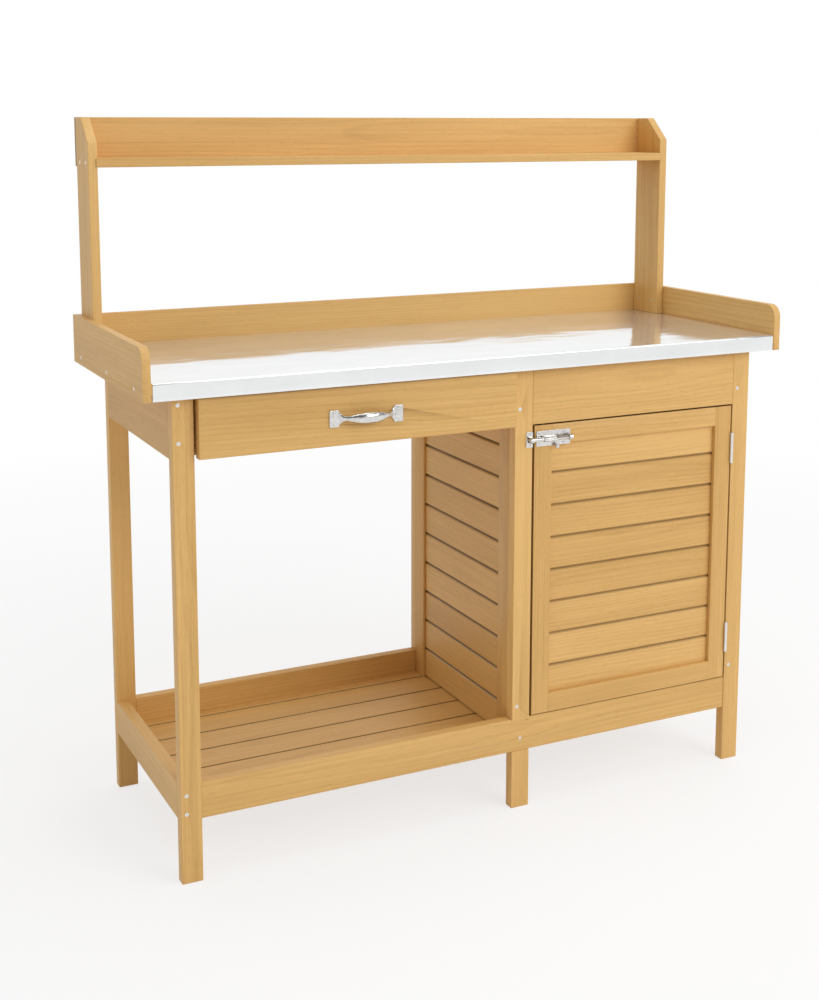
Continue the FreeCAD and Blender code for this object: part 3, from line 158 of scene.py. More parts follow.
def math_node(tree, operation, first, second=None, clamp=False):
    node = tree.nodes.new("ShaderNodeMath")
    node.operation = operation
    node.use_clamp = clamp
    for socket, value in zip(node.inputs, (first, second)):
        if value is None:
            continue
        if isinstance(value, (int, float)):
            socket.default_value = value
        else:
            tree.links.new(value, socket)
    return node.outputs[0]


def scaled(tree, vector, factors):
    node = tree.nodes.new("ShaderNodeVectorMath")
    node.operation = "MULTIPLY"
    tree.links.new(vector, node.inputs[0])
    node.inputs[1].default_value = factors
    return node.outputs[0]


def noise(tree, vector, factors, detail=2.0, roughness=0.5):
    """Noise over a vector that is stretched by a factor for each of its parts."""
    node = tree.nodes.new("ShaderNodeTexNoise")
    node.inputs["Scale"].default_value = 1.0
    node.inputs["Detail"].default_value = detail
    node.inputs["Roughness"].default_value = roughness
    tree.links.new(scaled(tree, vector, factors), node.inputs["Vector"])
    return node.outputs["Fac"]


def mixed(tree, factor, first, second):
    """A colour mix; each colour is a value or an output."""
    node = tree.nodes.new("ShaderNodeMix")
    node.data_type = "RGBA"
    for socket, value in ((node.inputs[0], factor), (node.inputs[6], first), (node.inputs[7], second)):
        if isinstance(value, bpy.types.NodeSocket):
            tree.links.new(value, socket)
        else:
            socket.default_value = value
    return node.outputs[2]


def group_tree(name, inputs, outputs):
    """An empty shader group with its sockets: (name, kind) or (name, kind, default)."""
    tree = bpy.data.node_groups.new(name, "ShaderNodeTree")
    for title, kind, *default in inputs:
        socket = tree.interface.new_socket(name=title, in_out="INPUT", socket_type=kind)
        if default:
            socket.default_value = default[0]
    for title, kind in outputs:
        tree.interface.new_socket(name=title, in_out="OUTPUT", socket_type=kind)
    return tree, tree.nodes.new("NodeGroupInput"), tree.nodes.new("NodeGroupOutput")


def wood_grain_group():
    """Growth rings, streaks and fibres along a board whose own axes are in the Grain vector, with painted
    shade in its joints.
    """
    if "wood_grain" in bpy.data.node_groups:
        return bpy.data.node_groups["wood_grain"]
    tree, given, out = group_tree(
        "wood_grain",
        (
            ("Grain", "NodeSocketVector"),
            ("Tone", "NodeSocketFloat"),
            ("Light", "NodeSocketColor", (0.8, 0.5, 0.2, 1)),
            ("Dark", "NodeSocketColor", (0.6, 0.3, 0.1, 1)),
            ("Ring Spacing", "NodeSocketFloat", 0.004),
            ("Contrast", "NodeSocketFloat", 1.0),
            ("Hollow", "NodeSocketFloat", 0.0),
        ),
        (("Color", "NodeSocketColor"), ("Roughness", "NodeSocketFloat"), ("Height", "NodeSocketFloat")),
    )
    grain = given.outputs["Grain"]
    parts = tree.nodes.new("ShaderNodeSeparateXYZ")
    tree.links.new(grain, parts.inputs[0])
    wander = noise(tree, grain, (1.4, 7.0, 7.0), detail=1.0)
    waver = noise(tree, grain, (7.0, 40.0, 40.0), detail=2.0)
    drift = math_node(tree, "MULTIPLY", math_node(tree, "SUBTRACT", wander, 0.5), 0.030)
    ripple = math_node(tree, "MULTIPLY", math_node(tree, "SUBTRACT", waver, 0.5), 0.0022)
    across = math_node(tree, "MULTIPLY", parts.outputs[1], parts.outputs[1])
    through = math_node(tree, "MULTIPLY", parts.outputs[2], parts.outputs[2])
    radius = math_node(tree, "SQRT", math_node(tree, "ADD", across, through))
    radius = math_node(tree, "ADD", math_node(tree, "ADD", radius, drift), ripple)
    turns = math_node(tree, "DIVIDE", radius, given.outputs["Ring Spacing"])
    season = math_node(tree, "FRACT", turns)
    fall = math_node(tree, "MULTIPLY", math_node(tree, "SUBTRACT", 1.0, season), 9.0, clamp=True)
    late = math_node(tree, "MULTIPLY", math_node(tree, "POWER", season, 2.6), fall)
    fibre = noise(tree, grain, (30.0, 1500.0, 1500.0), detail=1.0)
    streak = noise(tree, grain, (3.5, 230.0, 230.0), detail=3.0)
    broad = noise(tree, grain, (1.6, 13.0, 13.0), detail=2.0)
    fleck = noise(tree, grain, (75.0, 800.0, 800.0), detail=0.0)
    fleck = math_node(tree, "MULTIPLY", math_node(tree, "SUBTRACT", fleck, 0.66), 8.0, clamp=True)
    centred = [math_node(tree, "MULTIPLY", fleck, 0.30)]
    for value, weight in ((late, 0.34), (fibre, 0.60), (streak, 0.80), (broad, 1.15)):
        middle = 0.22 if value is late else 0.5
        centred.append(math_node(tree, "MULTIPLY", math_node(tree, "SUBTRACT", value, middle), weight))
    total = centred[0]
    for value in centred[1:]:
        total = math_node(tree, "ADD", total, value)
    total = math_node(tree, "MULTIPLY", total, given.outputs["Contrast"])
    toned = math_node(tree, "MULTIPLY", given.outputs["Tone"], 0.16)
    darkness = math_node(tree, "ADD", math_node(tree, "ADD", total, toned), 0.36, clamp=True)
    colour = mixed(tree, darkness, given.outputs["Light"], given.outputs["Dark"])
    # painted shade: the joints between boards and the sides that face narrow gaps are darkened, as shade
    # falls there
    colour = mixed(tree, given.outputs["Hollow"], colour, JOINT_SHADE)
    tree.links.new(colour, out.inputs["Color"])
    rough = math_node(tree, "ADD", math_node(tree, "MULTIPLY", fibre, 0.14), 0.44)
    rough = math_node(tree, "SUBTRACT", rough, math_node(tree, "MULTIPLY", late, 0.06))
    tree.links.new(rough, out.inputs["Roughness"])
    late_height = math_node(tree, "MULTIPLY", late, 0.35)
    fibre_height = math_node(tree, "MULTIPLY", fibre, 0.65)
    height = math_node(tree, "ADD", late_height, fibre_height)
    tree.links.new(height, out.inputs["Height"])
    return tree


def new_material(name):
    material = bpy.data.materials.new(name)
    material.use_nodes = True
    tree = material.node_tree
    return material, tree, tree.nodes["Principled BSDF"]


def wood_material(name, light, dark, ring, contrast=1.0):
    if name in bpy.data.materials:
        return bpy.data.materials[name]
    material, tree, shader = new_material(name)
    grain = add_node(tree, "ShaderNodeAttribute", attribute_name="grain")
    tone = add_node(tree, "ShaderNodeAttribute", attribute_name="tone")
    # painted shade: how far each point is darkened towards the joint shade colour
    hollow = add_node(tree, "ShaderNodeAttribute", attribute_name="hollow")
    group = tree.nodes.new("ShaderNodeGroup")
    group.node_tree = wood_grain_group()
    group.inputs["Light"].default_value = (*light, 1)
    group.inputs["Dark"].default_value = (*dark, 1)
    group.inputs["Ring Spacing"].default_value = ring
    group.inputs["Contrast"].default_value = contrast
    tree.links.new(grain.outputs["Vector"], group.inputs["Grain"])
    tree.links.new(tone.outputs["Fac"], group.inputs["Tone"])
    tree.links.new(hollow.outputs["Fac"], group.inputs["Hollow"])
    tree.links.new(group.outputs["Color"], shader.inputs["Base Color"])
    tree.links.new(group.outputs["Roughness"], shader.inputs["Roughness"])
    bump = add_node(tree, "ShaderNodeBump", Strength=0.25, Distance=0.0003)
    tree.links.new(group.outputs["Height"], bump.inputs["Height"])
    tree.links.new(bump.outputs[0], shader.inputs["Normal"])
    return material


def softwood():
    wood = bpy.context.scene.bench_wood
    return wood_material("oiled_softwood", wood.light, wood.dark, wood.ring)


def metal_wear_group():
    """Mottling, fine scratches and soft dents over Object coordinates."""
    if "metal_wear" in bpy.data.node_groups:
        return bpy.data.node_groups["metal_wear"]
    tree, given, out = group_tree(
        "metal_wear",
        (
            ("Vector", "NodeSocketVector"),
            ("Colour", "NodeSocketColor", (0.8, 0.8, 0.8, 1)),
            ("Roughness", "NodeSocketFloat", 0.2),
            ("Mottle Scale", "NodeSocketFloat", 40.0),
            ("Mottle", "NodeSocketFloat", 0.1),
            ("Wear", "NodeSocketFloat", 0.15),
        ),
        (("Color", "NodeSocketColor"), ("Roughness", "NodeSocketFloat"), ("Height", "NodeSocketFloat")),
    )
    vector = given.outputs["Vector"]
    scale = tree.nodes.new("ShaderNodeVectorMath")
    scale.operation = "SCALE"
    tree.links.new(vector, scale.inputs[0])
    tree.links.new(given.outputs["Mottle Scale"], scale.inputs["Scale"])
    cloud = noise(tree, scale.outputs[0], (1.0, 1.0, 1.0), detail=4.0, roughness=0.62)
    drawn = noise(tree, scale.outputs[0], (0.35, 4.0, 4.0), detail=3.0)
    clouded = math_node(tree, "MULTIPLY", cloud, 0.6)
    both = math_node(tree, "ADD", clouded, math_node(tree, "MULTIPLY", drawn, 0.4))
    centred = math_node(tree, "SUBTRACT", both, 0.5)
    change = math_node(tree, "MULTIPLY", centred, given.outputs["Mottle"])
    lit = math_node(tree, "ADD", 1.0, change)
    tint = tree.nodes.new("ShaderNodeVectorMath")
    tint.operation = "SCALE"
    tree.links.new(given.outputs["Colour"], tint.inputs[0])
    tree.links.new(lit, tint.inputs["Scale"])
    tree.links.new(tint.outputs[0], out.inputs["Color"])
    wear = math_node(tree, "MULTIPLY", centred, given.outputs["Wear"])
    rough = math_node(tree, "ADD", given.outputs["Roughness"], wear)
    tree.links.new(math_node(tree, "MAXIMUM", rough, 0.03), out.inputs["Roughness"])
    tree.links.new(both, out.inputs["Height"])
    return tree


def metal_material(
    name, colour, roughness, mottle_scale, mottle, bump_strength, bump_distance, metallic=1.0, sag=0.0
):
    """Worn metal; sag slopes a level sheet's mirror towards the front, with slow waves in it."""
    if name in bpy.data.materials:
        return bpy.data.materials[name]
    material, tree, shader = new_material(name)
    place = tree.nodes.new("ShaderNodeTexCoord")
    group = tree.nodes.new("ShaderNodeGroup")
    group.node_tree = metal_wear_group()
    group.inputs["Colour"].default_value = (*colour, 1)
    group.inputs["Roughness"].default_value = roughness
    group.inputs["Mottle Scale"].default_value = mottle_scale
    group.inputs["Mottle"].default_value = mottle
    tree.links.new(place.outputs["Object"], group.inputs["Vector"])
    tree.links.new(group.outputs["Color"], shader.inputs["Base Color"])
    tree.links.new(group.outputs["Roughness"], shader.inputs["Roughness"])
    shader.inputs["Metallic"].default_value = metallic
    bump = add_node(tree, "ShaderNodeBump", Strength=bump_strength, Distance=bump_distance)
    tree.links.new(group.outputs["Height"], bump.inputs["Height"])
    if sag:
        parts = tree.nodes.new("ShaderNodeSeparateXYZ")
        tree.links.new(place.outputs["Object"], parts.inputs[0])
        slope = math_node(tree, "MULTIPLY", parts.outputs[1], sag)
        wave = noise(tree, place.outputs["Object"], (4.0, 9.0, 4.0), detail=2.0)
        waves = math_node(tree, "MULTIPLY", wave, sag * 0.09)
        bowed = add_node(tree, "ShaderNodeBump", Strength=1.0, Distance=1.0)
        tree.links.new(math_node(tree, "ADD", slope, waves), bowed.inputs["Height"])
        tree.links.new(bowed.outputs[0], bump.inputs["Normal"])
    tree.links.new(bump.outputs[0], shader.inputs["Normal"])
    return material


def sheet_metal():
    metal = bpy.context.scene.bench_metal
    return metal_material("zinc_sheet", metal.sheet, 0.10, 9.0, 0.30, 0.14, 0.0012, metallic=0.78, sag=0.03)


def polished_steel():
    metal = bpy.context.scene.bench_metal
    return metal_material("bright_steel", metal.polished, 0.10, 150.0, 0.75, 0.75, 0.0010)


def satin_steel():
    metal = bpy.context.scene.bench_metal
    return metal_material("satin_steel", metal.satin, 0.30, 400.0, 0.2, 0.15, 0.0003)


# Meshes


def merged(node):
    """A copy of a CAD node's mesh with its loose triangles joined and its flat faces made whole."""
    mesh_copy = bmesh.new()
    mesh_copy.from_mesh(NODES[node].data)
    bmesh.ops.remove_doubles(mesh_copy, verts=mesh_copy.verts, dist=2e-6)
    flat = math.radians(0.3)
    bmesh.ops.dissolve_limit(
        mesh_copy, angle_limit=flat, verts=mesh_copy.verts, edges=mesh_copy.edges
    )
    return mesh_copy


def sharp_edges(shape, shortest):
    """Long edges between faces that meet at more than 30 degrees, so not those round a hole."""
    found = []
    for edge in shape.edges:
        if len(edge.link_faces) != 2 or edge.calc_length() < shortest:
            continue
        if edge.calc_face_angle() > math.radians(30):
            found.append(edge)
    return found


def ease(shape, radius, segments=2, shortest=0.006):
    bmesh.ops.bevel(
        shape,
        geom=sharp_edges(shape, shortest),
        offset=radius,
        offset_type="OFFSET",
        segments=segments,
        profile=0.5,
        affect="EDGES",
        clamp_overlap=True,
    )


def grain_axes(along):
    """The board's own axes: along the fibres, across its width, through its thickness."""
    rest = [name for name in "zyx" if name != along]
    return AXES[along], AXES[rest[0]], AXES[rest[1]]


def write_grain(mesh, along, middle, shift=Vector((0, 0, 0)), tone=0.0, axes=None):
    """Stores each point's place on the board's own axes, which the wood's pattern follows."""
    axes = axes or grain_axes(along)
    mesh.attributes.new("grain", "FLOAT_VECTOR", "POINT")
    mesh.attributes.new("tone", "FLOAT", "POINT")
    grain, tones = mesh.attributes["grain"].data, mesh.attributes["tone"].data
    for point in mesh.vertices:
        local = point.co - middle
        grain[point.index].vector = Vector([local.dot(axis) for axis in axes]) + shift
        tones[point.index].value = tone


def write_painted_shade(mesh, is_painted_shade, depth):
    """Marks the points that lie in a joint or face a narrow gap with the depth of their painted shade."""
    mesh.attributes.new("hollow", "FLOAT", "POINT")
    hollow = mesh.attributes["hollow"].data
    for point in mesh.vertices:
        hollow[point.index].value = depth if is_painted_shade(point.co) else 0.0


def new_object(name, shape, material=None, smooth_angle=None):
    """An object from a bmesh, at the origin, which frees the bmesh."""
    mesh = bpy.data.meshes.new(name)
    shape.normal_update()
    shape.to_mesh(mesh)
    shape.free()
    if smooth_angle is not None:
        mesh.shade_smooth()
        mesh.set_sharp_from_angle(angle=math.radians(smooth_angle))
    if material:
        mesh.materials.append(material)
    made = bpy.data.objects.new(name, mesh)
    bpy.context.scene.collection.objects.link(made)
    return made


def attach(piece, body, slot, *replaced):
    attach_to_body(piece, body)
    if replaced:
        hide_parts(*replaced)


def board_luck(seed):
    """A board's random place in the tree that it was sawn from, and its tone."""
    luck = random.Random(seed)
    side = luck.choice((-1, 1))
    shift = Vector((luck.uniform(-4, 4), side * luck.uniform(0.0, 0.09), side * luck.uniform(0.03, 0.16)))
    return shift, luck.uniform(-1, 1)


def timber(name, node, body, along, edge=None, shaded_sides=(), material=None, slot="softwood"):
    """A sawn board with eased edges and its own grain; its sides that meet a joint, listed by name, get
    painted shade.
    """
    wood = bpy.context.scene.bench_wood
    shape = merged(node)
    low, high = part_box(node)
    middle = (low + high) / 2
    ease(shape, wood.edge if edge is None else edge)
    piece = new_object(name, shape, material or softwood(), smooth_angle=25)
    shift, chance = board_luck(f"{wood.seed}{node}")
    write_grain(piece.data, along, middle, shift, chance)
    # painted shade on the sides that meet a joint or face a gap
    if shaded_sides:
        sides = []
        for gap in shaded_sides:
            way = AXES[gap[-1]] * (-1 if gap[0] == "-" else 1)
            sides.append((way, max(low.dot(way), high.dot(way)) - 0.1 * MM))
        write_painted_shade(piece.data, lambda point: any(point.dot(way) > at for way, at in sides), 0.6)
    attach(piece, body, slot, node)
    return piece


# Geometry Nodes


def geometry_tree(name, inputs):
    tree = bpy.data.node_groups.new(name, "GeometryNodeTree")
    tree.interface.new_socket(name="Geometry", in_out="INPUT", socket_type="NodeSocketGeometry")
    for title, kind, default in inputs:
        socket = tree.interface.new_socket(name=title, in_out="INPUT", socket_type=kind)
        if default is not None:
            socket.default_value = default
    tree.interface.new_socket(name="Geometry", in_out="OUTPUT", socket_type="NodeSocketGeometry")
    return tree, tree.nodes.new("NodeGroupInput"), tree.nodes.new("NodeGroupOutput")


def named(tree, name, kind):
    node = tree.nodes.new("GeometryNodeInputNamedAttribute")
    node.data_type = kind
    node.inputs["Name"].default_value = name
    return node.outputs["Attribute"]


def store(tree, geometry, name, kind, domain, value):
    node = tree.nodes.new("GeometryNodeStoreNamedAttribute")
    node.data_type = kind
    node.domain = domain
    node.inputs["Name"].default_value = name
    tree.links.new(geometry, node.inputs["Geometry"])
    tree.links.new(value, node.inputs["Value"])
    return node.outputs["Geometry"]


def finish_tree(tree, given, out, geometry):
    """Real geometry with its material, as the last steps of every tree here."""
    real = tree.nodes.new("GeometryNodeRealizeInstances")
    tree.links.new(geometry, real.inputs[0])
    dressed = tree.nodes.new("GeometryNodeSetMaterial")
    tree.links.new(real.outputs[0], dressed.inputs["Geometry"])
    tree.links.new(given.outputs["Material"], dressed.inputs["Material"])
    tree.links.new(dressed.outputs[0], out.inputs["Geometry"])


def board_row_tree():
    """Copies one board at a pitch and gives each copy a grain and a tone of its own."""
    if "board_row" in bpy.data.node_groups:
        return bpy.data.node_groups["board_row"]
    tree, given, out = geometry_tree(
        "board_row",
        (
            ("Boards", "NodeSocketInt", 8),
            ("Pitch", "NodeSocketVector", (0, 0, 0.0585)),
            ("Grain Low", "NodeSocketVector", (-4, -0.09, 0.03)),
            ("Grain High", "NodeSocketVector", (4, 0.09, 0.16)),
            ("Seed", "NodeSocketInt", 7),
            ("Material", "NodeSocketMaterial", None),
        ),
    )
    links = tree.links.new
    line = tree.nodes.new("GeometryNodeMeshLine")
    links(given.outputs["Boards"], line.inputs["Count"])
    links(given.outputs["Pitch"], line.inputs["Offset"])
    copies = tree.nodes.new("GeometryNodeInstanceOnPoints")
    links(line.outputs[0], copies.inputs["Points"])
    links(given.outputs["Geometry"], copies.inputs["Instance"])
    index = tree.nodes.new("GeometryNodeInputIndex")
    numbered = store(tree, copies.outputs[0], "board", "INT", "INSTANCE", index.outputs[0])
    real = tree.nodes.new("GeometryNodeRealizeInstances")
    links(numbered, real.inputs[0])
    board = named(tree, "board", "INT")
    place = tree.nodes.new("FunctionNodeRandomValue")
    place.data_type = "FLOAT_VECTOR"
    links(given.outputs["Grain Low"], place.inputs[0])
    links(given.outputs["Grain High"], place.inputs[1])
    links(board, place.inputs["ID"])
    links(given.outputs["Seed"], place.inputs["Seed"])
    add = tree.nodes.new("ShaderNodeVectorMath")
    links(named(tree, "grain", "FLOAT_VECTOR"), add.inputs[0])
    links(place.outputs[0], add.inputs[1])
    grained = store(tree, real.outputs[0], "grain", "FLOAT_VECTOR", "POINT", add.outputs[0])
    chance = tree.nodes.new("FunctionNodeRandomValue")
    chance.data_type = "FLOAT"
    chance.inputs[2].default_value = -1.0
    chance.inputs[3].default_value = 1.0
    links(board, chance.inputs["ID"])
    links(given.outputs["Seed"], chance.inputs["Seed"])
    toned = store(tree, grained, "tone", "FLOAT", "POINT", chance.outputs[1])
    finish_tree(tree, given, out, toned)
    return tree


def screw_tree():
    """Sets a screw's head at every point, turned to face along the point's own direction."""
    if "set_screws" in bpy.data.node_groups:
        return bpy.data.node_groups["set_screws"]
    tree, given, out = geometry_tree(
        "set_screws",
        (
            ("Head", "NodeSocketObject", None),
            ("Size", "NodeSocketFloat", 1.0),
            ("Material", "NodeSocketMaterial", None),
        ),
    )
    links = tree.links.new
    head = tree.nodes.new("GeometryNodeObjectInfo")
    links(given.outputs["Head"], head.inputs[0])
    turn = tree.nodes.new("FunctionNodeAlignRotationToVector")
    turn.axis = "Z"
    links(named(tree, "outward", "FLOAT_VECTOR"), turn.inputs["Vector"])
    spun = tree.nodes.new("FunctionNodeRotateRotation")
    spun.rotation_space = "LOCAL"
    links(turn.outputs[0], spun.inputs[0])
    angle = tree.nodes.new("ShaderNodeCombineXYZ")
    links(named(tree, "turn", "FLOAT"), angle.inputs["Z"])
    euler = tree.nodes.new("FunctionNodeEulerToRotation")
    links(angle.outputs[0], euler.inputs[0])
    links(euler.outputs[0], spun.inputs[1])
    copies = tree.nodes.new("GeometryNodeInstanceOnPoints")
    links(given.outputs["Geometry"], copies.inputs["Points"])
    links(head.outputs["Geometry"], copies.inputs["Instance"])
    links(spun.outputs[0], copies.inputs["Rotation"])
    size = tree.nodes.new("ShaderNodeMath")
    size.operation = "MULTIPLY"
    links(given.outputs["Size"], size.inputs[0])
    links(named(tree, "radius", "FLOAT"), size.inputs[1])
    links(size.outputs[0], copies.inputs["Scale"])
    finish_tree(tree, given, out, copies.outputs[0])
    return tree


def grown(name, seed_object, tree, **inputs):
    """Runs a geometry tree on an object and returns its result as a plain mesh object."""
    modifier = seed_object.modifiers.new(tree.name, "NODES")
    modifier.node_group = tree
    for item in tree.interface.items_tree:
        key = item.name.replace(" ", "_").lower()
        if item.item_type == "SOCKET" and item.in_out == "INPUT" and key in inputs:
            modifier[item.identifier] = inputs[key]
    graph = bpy.context.evaluated_depsgraph_get()
    graph.update()
    mesh = bpy.data.meshes.new_from_object(seed_object.evaluated_get(graph), depsgraph=graph)
    mesh.name = name
    seed_object.modifiers.clear()
    bpy.data.objects.remove(seed_object)
    made = bpy.data.objects.new(name, mesh)
    bpy.context.scene.collection.objects.link(made)
    return made


def extruded(outline, start, direction, length, up, out):
    """A closed prism: outline's (out, up) corners, swept from start along direction."""
    shape = bmesh.new()
    ends = []
    for travel in (0.0, length):
        base = start + direction * travel
        ends.append([shape.verts.new(base + out * a + up * b) for a, b in outline])
    count = len(outline)
    for index in range(count):
        following = (index + 1) % count
        shape.faces.new(
            (ends[0][index], ends[0][following], ends[1][following], ends[1][index])
        )
    shape.faces.new(list(reversed(ends[0])))
    shape.faces.new(ends[1])
    bmesh.ops.recalc_face_normals(shape, faces=shape.faces)
    return shape


def trim(piece, place, normal):
    """Rips a piece off beyond a plane and closes the cut."""
    shape = bmesh.new()
    shape.from_mesh(piece.data)
    everything = list(shape.verts) + list(shape.edges) + list(shape.faces)
    cut = bmesh.ops.bisect_plane(
        shape, geom=everything, dist=1e-7, plane_co=place, plane_no=normal, clear_outer=True
    )
    rim = [item for item in cut["geom_cut"] if isinstance(item, bmesh.types.BMEdge)]
    bmesh.ops.holes_fill(shape, edges=rim, sides=0)
    shape.to_mesh(piece.data)
    shape.free()


def board_outline(thickness, height, bevel):
    """A matched board's end: (depth behind its face, height), with its tongue and groove."""
    middle, tongue, slack, tall = thickness / 2, 1.6 * MM, 0.2 * MM, 3.6 * MM
    soft = 0.3 * MM
    return [
        (0, bevel + soft),
        (soft * 0.5, bevel),
        (bevel, 0),
        (middle - tongue - slack, 0),
        (middle - tongue - slack, tall + slack),
        (middle + tongue + slack, tall + slack),
        (middle + tongue + slack, 0),
        (thickness, 0),
        (thickness, height),
        (middle + tongue, height),
        (middle + tongue, height + tall),
        (middle - tongue, height + tall),
        (middle - tongue, height),
        (bevel, height),
        (soft * 0.5, height - bevel),
        (0, height - bevel - soft),
    ]


def matched_boards(name, node, body, along, face, seed, dark):
    """Matched boards in a CAD node's place; face is where the Vs look, dark how strongly painted shade
    darkens them.
    """
    wood = bpy.context.scene.bench_wood
    low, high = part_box(node)
    direction = AXES[along]
    back = -face
    depth = abs((high - low).dot(face))
    start = low.copy()
    for axis in range(3):
        if face[axis] > 0:
            start[axis] = high[axis]
    count = math.ceil((high.z - low.z) / wood.board_pitch - 1e-3)
    outline = board_outline(depth, wood.board_pitch - wood.board_gap, wood.board_bevel)
    length = (high - low).dot(direction)
    shape = extruded(outline, start, direction, length, AXES["z"], back)
    first = new_object(f"{name}_first", shape)
    middle = (low + high) / 2
    middle.z = low.z + wood.board_pitch / 2
    write_grain(first.data, along, middle)
    # painted shade in each V joint, from just behind the face to the board's back
    surface = start.dot(face) - 0.6 * MM
    rear = start.dot(face) - depth + 0.1 * MM
    write_painted_shade(first.data, lambda point: rear < point.dot(face) < surface, dark)
    row = grown(
        name,
        first,
        board_row_tree(),
        boards=count,
        pitch=(0, 0, wood.board_pitch),
        seed=wood.seed + seed,
        material=softwood(),
    )
    trim(row, high, AXES["z"])
    attach(row, body, "softwood", node)
    return row


# The pieces' operators

LEGS = (
    "leg_front_left",
    "leg_front_right",
    "leg_back_left",
    "leg_back_right",
    "middle_front_leg",
    "middle_back_leg",
)
LONG_RAILS = ("front_bottom_rail", "back_bottom_rail", "back_top_rail", "front_panel")
SHORT_RAILS = (
    "left_bottom_rail",
    "left_top_rail",
    "slat_bearer_middle",
    "slat_bearer_right",
    "drawer_runner_left",
    "drawer_runner_right",
)


class BENCH_OT_frame(bpy.types.Operator):
    """Legs, rails, bearers and drawer runners"""

    bl_idname = "bench.frame"
    bl_label = "Legs and Rails"

    def execute(self, context):
        wood = context.scene.bench_wood
        for node in LEGS:
            timber(f"{node}_wood", node, "frame", "z")
        # painted shade on the rails' ends, where they meet the legs
        for node in LONG_RAILS:
            timber(f"{node}_wood", node, "frame", "x", shaded_sides=("x", "-x"))
        for node in SHORT_RAILS:
            timber(f"{node}_wood", node, "frame", "y", shaded_sides=("y", "-y"))
        for node in (
            "partition_front_stile",
            "partition_back_stile",
            "cabinet_side_front_stile",
            "cabinet_side_back_stile",
        ):
            timber(f"{node}_wood", node, "frame", "z", edge=wood.edge * 0.7)
        return {"FINISHED"}


class BENCH_OT_floor(bpy.types.Operator):
    """Floor slats between the bottom rails, the first and the last ripped to fit"""

    bl_idname = "bench.floor"
    bl_label = "Floor Slats"

    def execute(self, context):
        wood = context.scene.bench_wood
        slats = [f"floor_slat_{number}" for number in range(1, 7)]
        whole_low, whole_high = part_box(slats[1])
        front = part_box(slats[0])[0]
        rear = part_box(slats[-1])[1]
        width = wood.slat_pitch - wood.slat_gap
        thickness = whole_high.z - whole_low.z
        start = Vector((whole_low.x, whole_low.y - wood.slat_pitch, whole_high.z))
        outline = [(0, 0), (thickness, 0), (thickness, width), (0, width)]
        shape = extruded(
            outline, start, AXES["x"], whole_high.x - whole_low.x, AXES["y"], -AXES["z"]
        )
        ease(shape, wood.edge * 1.8, segments=3)
        first = new_object("floor_slat_first", shape)
        middle = start + Vector(((whole_high.x - whole_low.x) / 2, width / 2, -thickness / 2))
        write_grain(first.data, "x", middle, axes=(AXES["x"], AXES["y"], AXES["z"]))
        # painted shade along each slat's flanks, where it faces the gap
        flank = width / 2 - 0.4 * MM
        write_painted_shade(first.data, lambda point: abs(point.y - middle.y) > flank, 0.7)
        row = grown(
            "floor_slats",
            first,
            board_row_tree(),
            boards=len(slats),
            pitch=(0, wood.slat_pitch, 0),
            seed=wood.seed + 11,
            material=softwood(),
        )
        trim(row, front, -AXES["y"])
        trim(row, rear, AXES["y"])
        attach(row, "frame", "softwood", *slats)
        return {"FINISHED"}


class BENCH_OT_boards(bpy.types.Operator):
    """Matched boards of the partition, the cabinet's side, its back and its door"""

    bl_idname = "bench.boards"
    bl_label = "Matched Boards"

    def execute(self, context):
        # the last number is how strongly painted shade darkens each set's V joints
        for node, body, along, face, seed, dark in (
            ("partition_boards", "frame", "y", -AXES["x"], 1, 0.85),
            ("cabinet_side_boards", "frame", "y", AXES["x"], 2, 0.7),
            ("cabinet_back_boards", "frame", "x", AXES["y"], 3, 0.7),
            ("door_boards", "door", "x", -AXES["y"], 4, 0.55),
        ):
            matched_boards(f"{node}_wood", node, body, along, face, seed, dark)
        return {"FINISHED"}


class BENCH_OT_worktop(bpy.types.Operator):
    """Tabletop, side boards and back board, with the galvanised sheet folded over the front"""

    bl_idname = "bench.worktop"
    bl_label = "Worktop"

    def execute(self, context):
        metal = context.scene.bench_metal
        timber("tabletop_board_wood", "tabletop_board", "frame", "x")
        # painted shade on the back board's ends, where they meet the side boards
        timber("worktop_back_board_wood", "worktop_back_board", "frame", "x", shaded_sides=("x", "-x"))
        for node in ("side_board_left", "side_board_right"):
            timber(f"{node}_wood", node, "frame", "y")
        low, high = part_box("metal_top")
        thick, outer, hem = metal.sheet_thickness, metal.fold, metal.hem
        outside, inside = [], []
        bend = Vector((outer, high.z - outer))  # across from the front, and height
        flat = 4 * MM  # the fold's soft shading ends this far from it
        for across in (high.y - low.y, outer + flat):
            outside.append((across, high.z))
            inside.append((across, high.z - thick))
        steps = 8
        for step in range(steps + 1):
            angle = math.pi / 2 * (1 + step / steps)
            for line, radius in ((outside, outer), (inside, outer - thick)):
                line.append((bend.x + radius * math.cos(angle), bend.y + radius * math.sin(angle)))
        outside += [(0, bend.y - flat), (0, low.z + hem + flat)]
        inside += [(thick, bend.y - flat), (thick, low.z + hem + flat)]
        # the lip's lower edge is turned in and back up, flat against the lip
        foot = low.z + hem
        turn = []
        for step in range(steps + 1):
            angle = math.pi * (1 + step / steps)
            turn.append((hem + hem * math.cos(angle), foot + hem * math.sin(angle)))
        tuck = foot + 7 * MM
        outline = outside + turn + [(2 * hem, tuck), (2 * hem - thick, tuck)]
        outline += [(2 * hem - thick, foot + 0.2 * MM), (thick, foot + 0.2 * MM)]
        outline += list(reversed(inside))
        points = [(a, b - low.z) for a, b in outline]
        shape = extruded(
            points,
            Vector((low.x, low.y, low.z)),
            AXES["x"],
            high.x - low.x,
            AXES["z"],
            AXES["y"],
        )
        piece = new_object("metal_top_sheet", shape, sheet_metal(), smooth_angle=35)
        attach(piece, "frame", "galvanised_sheet", "metal_top")
        return {"FINISHED"}


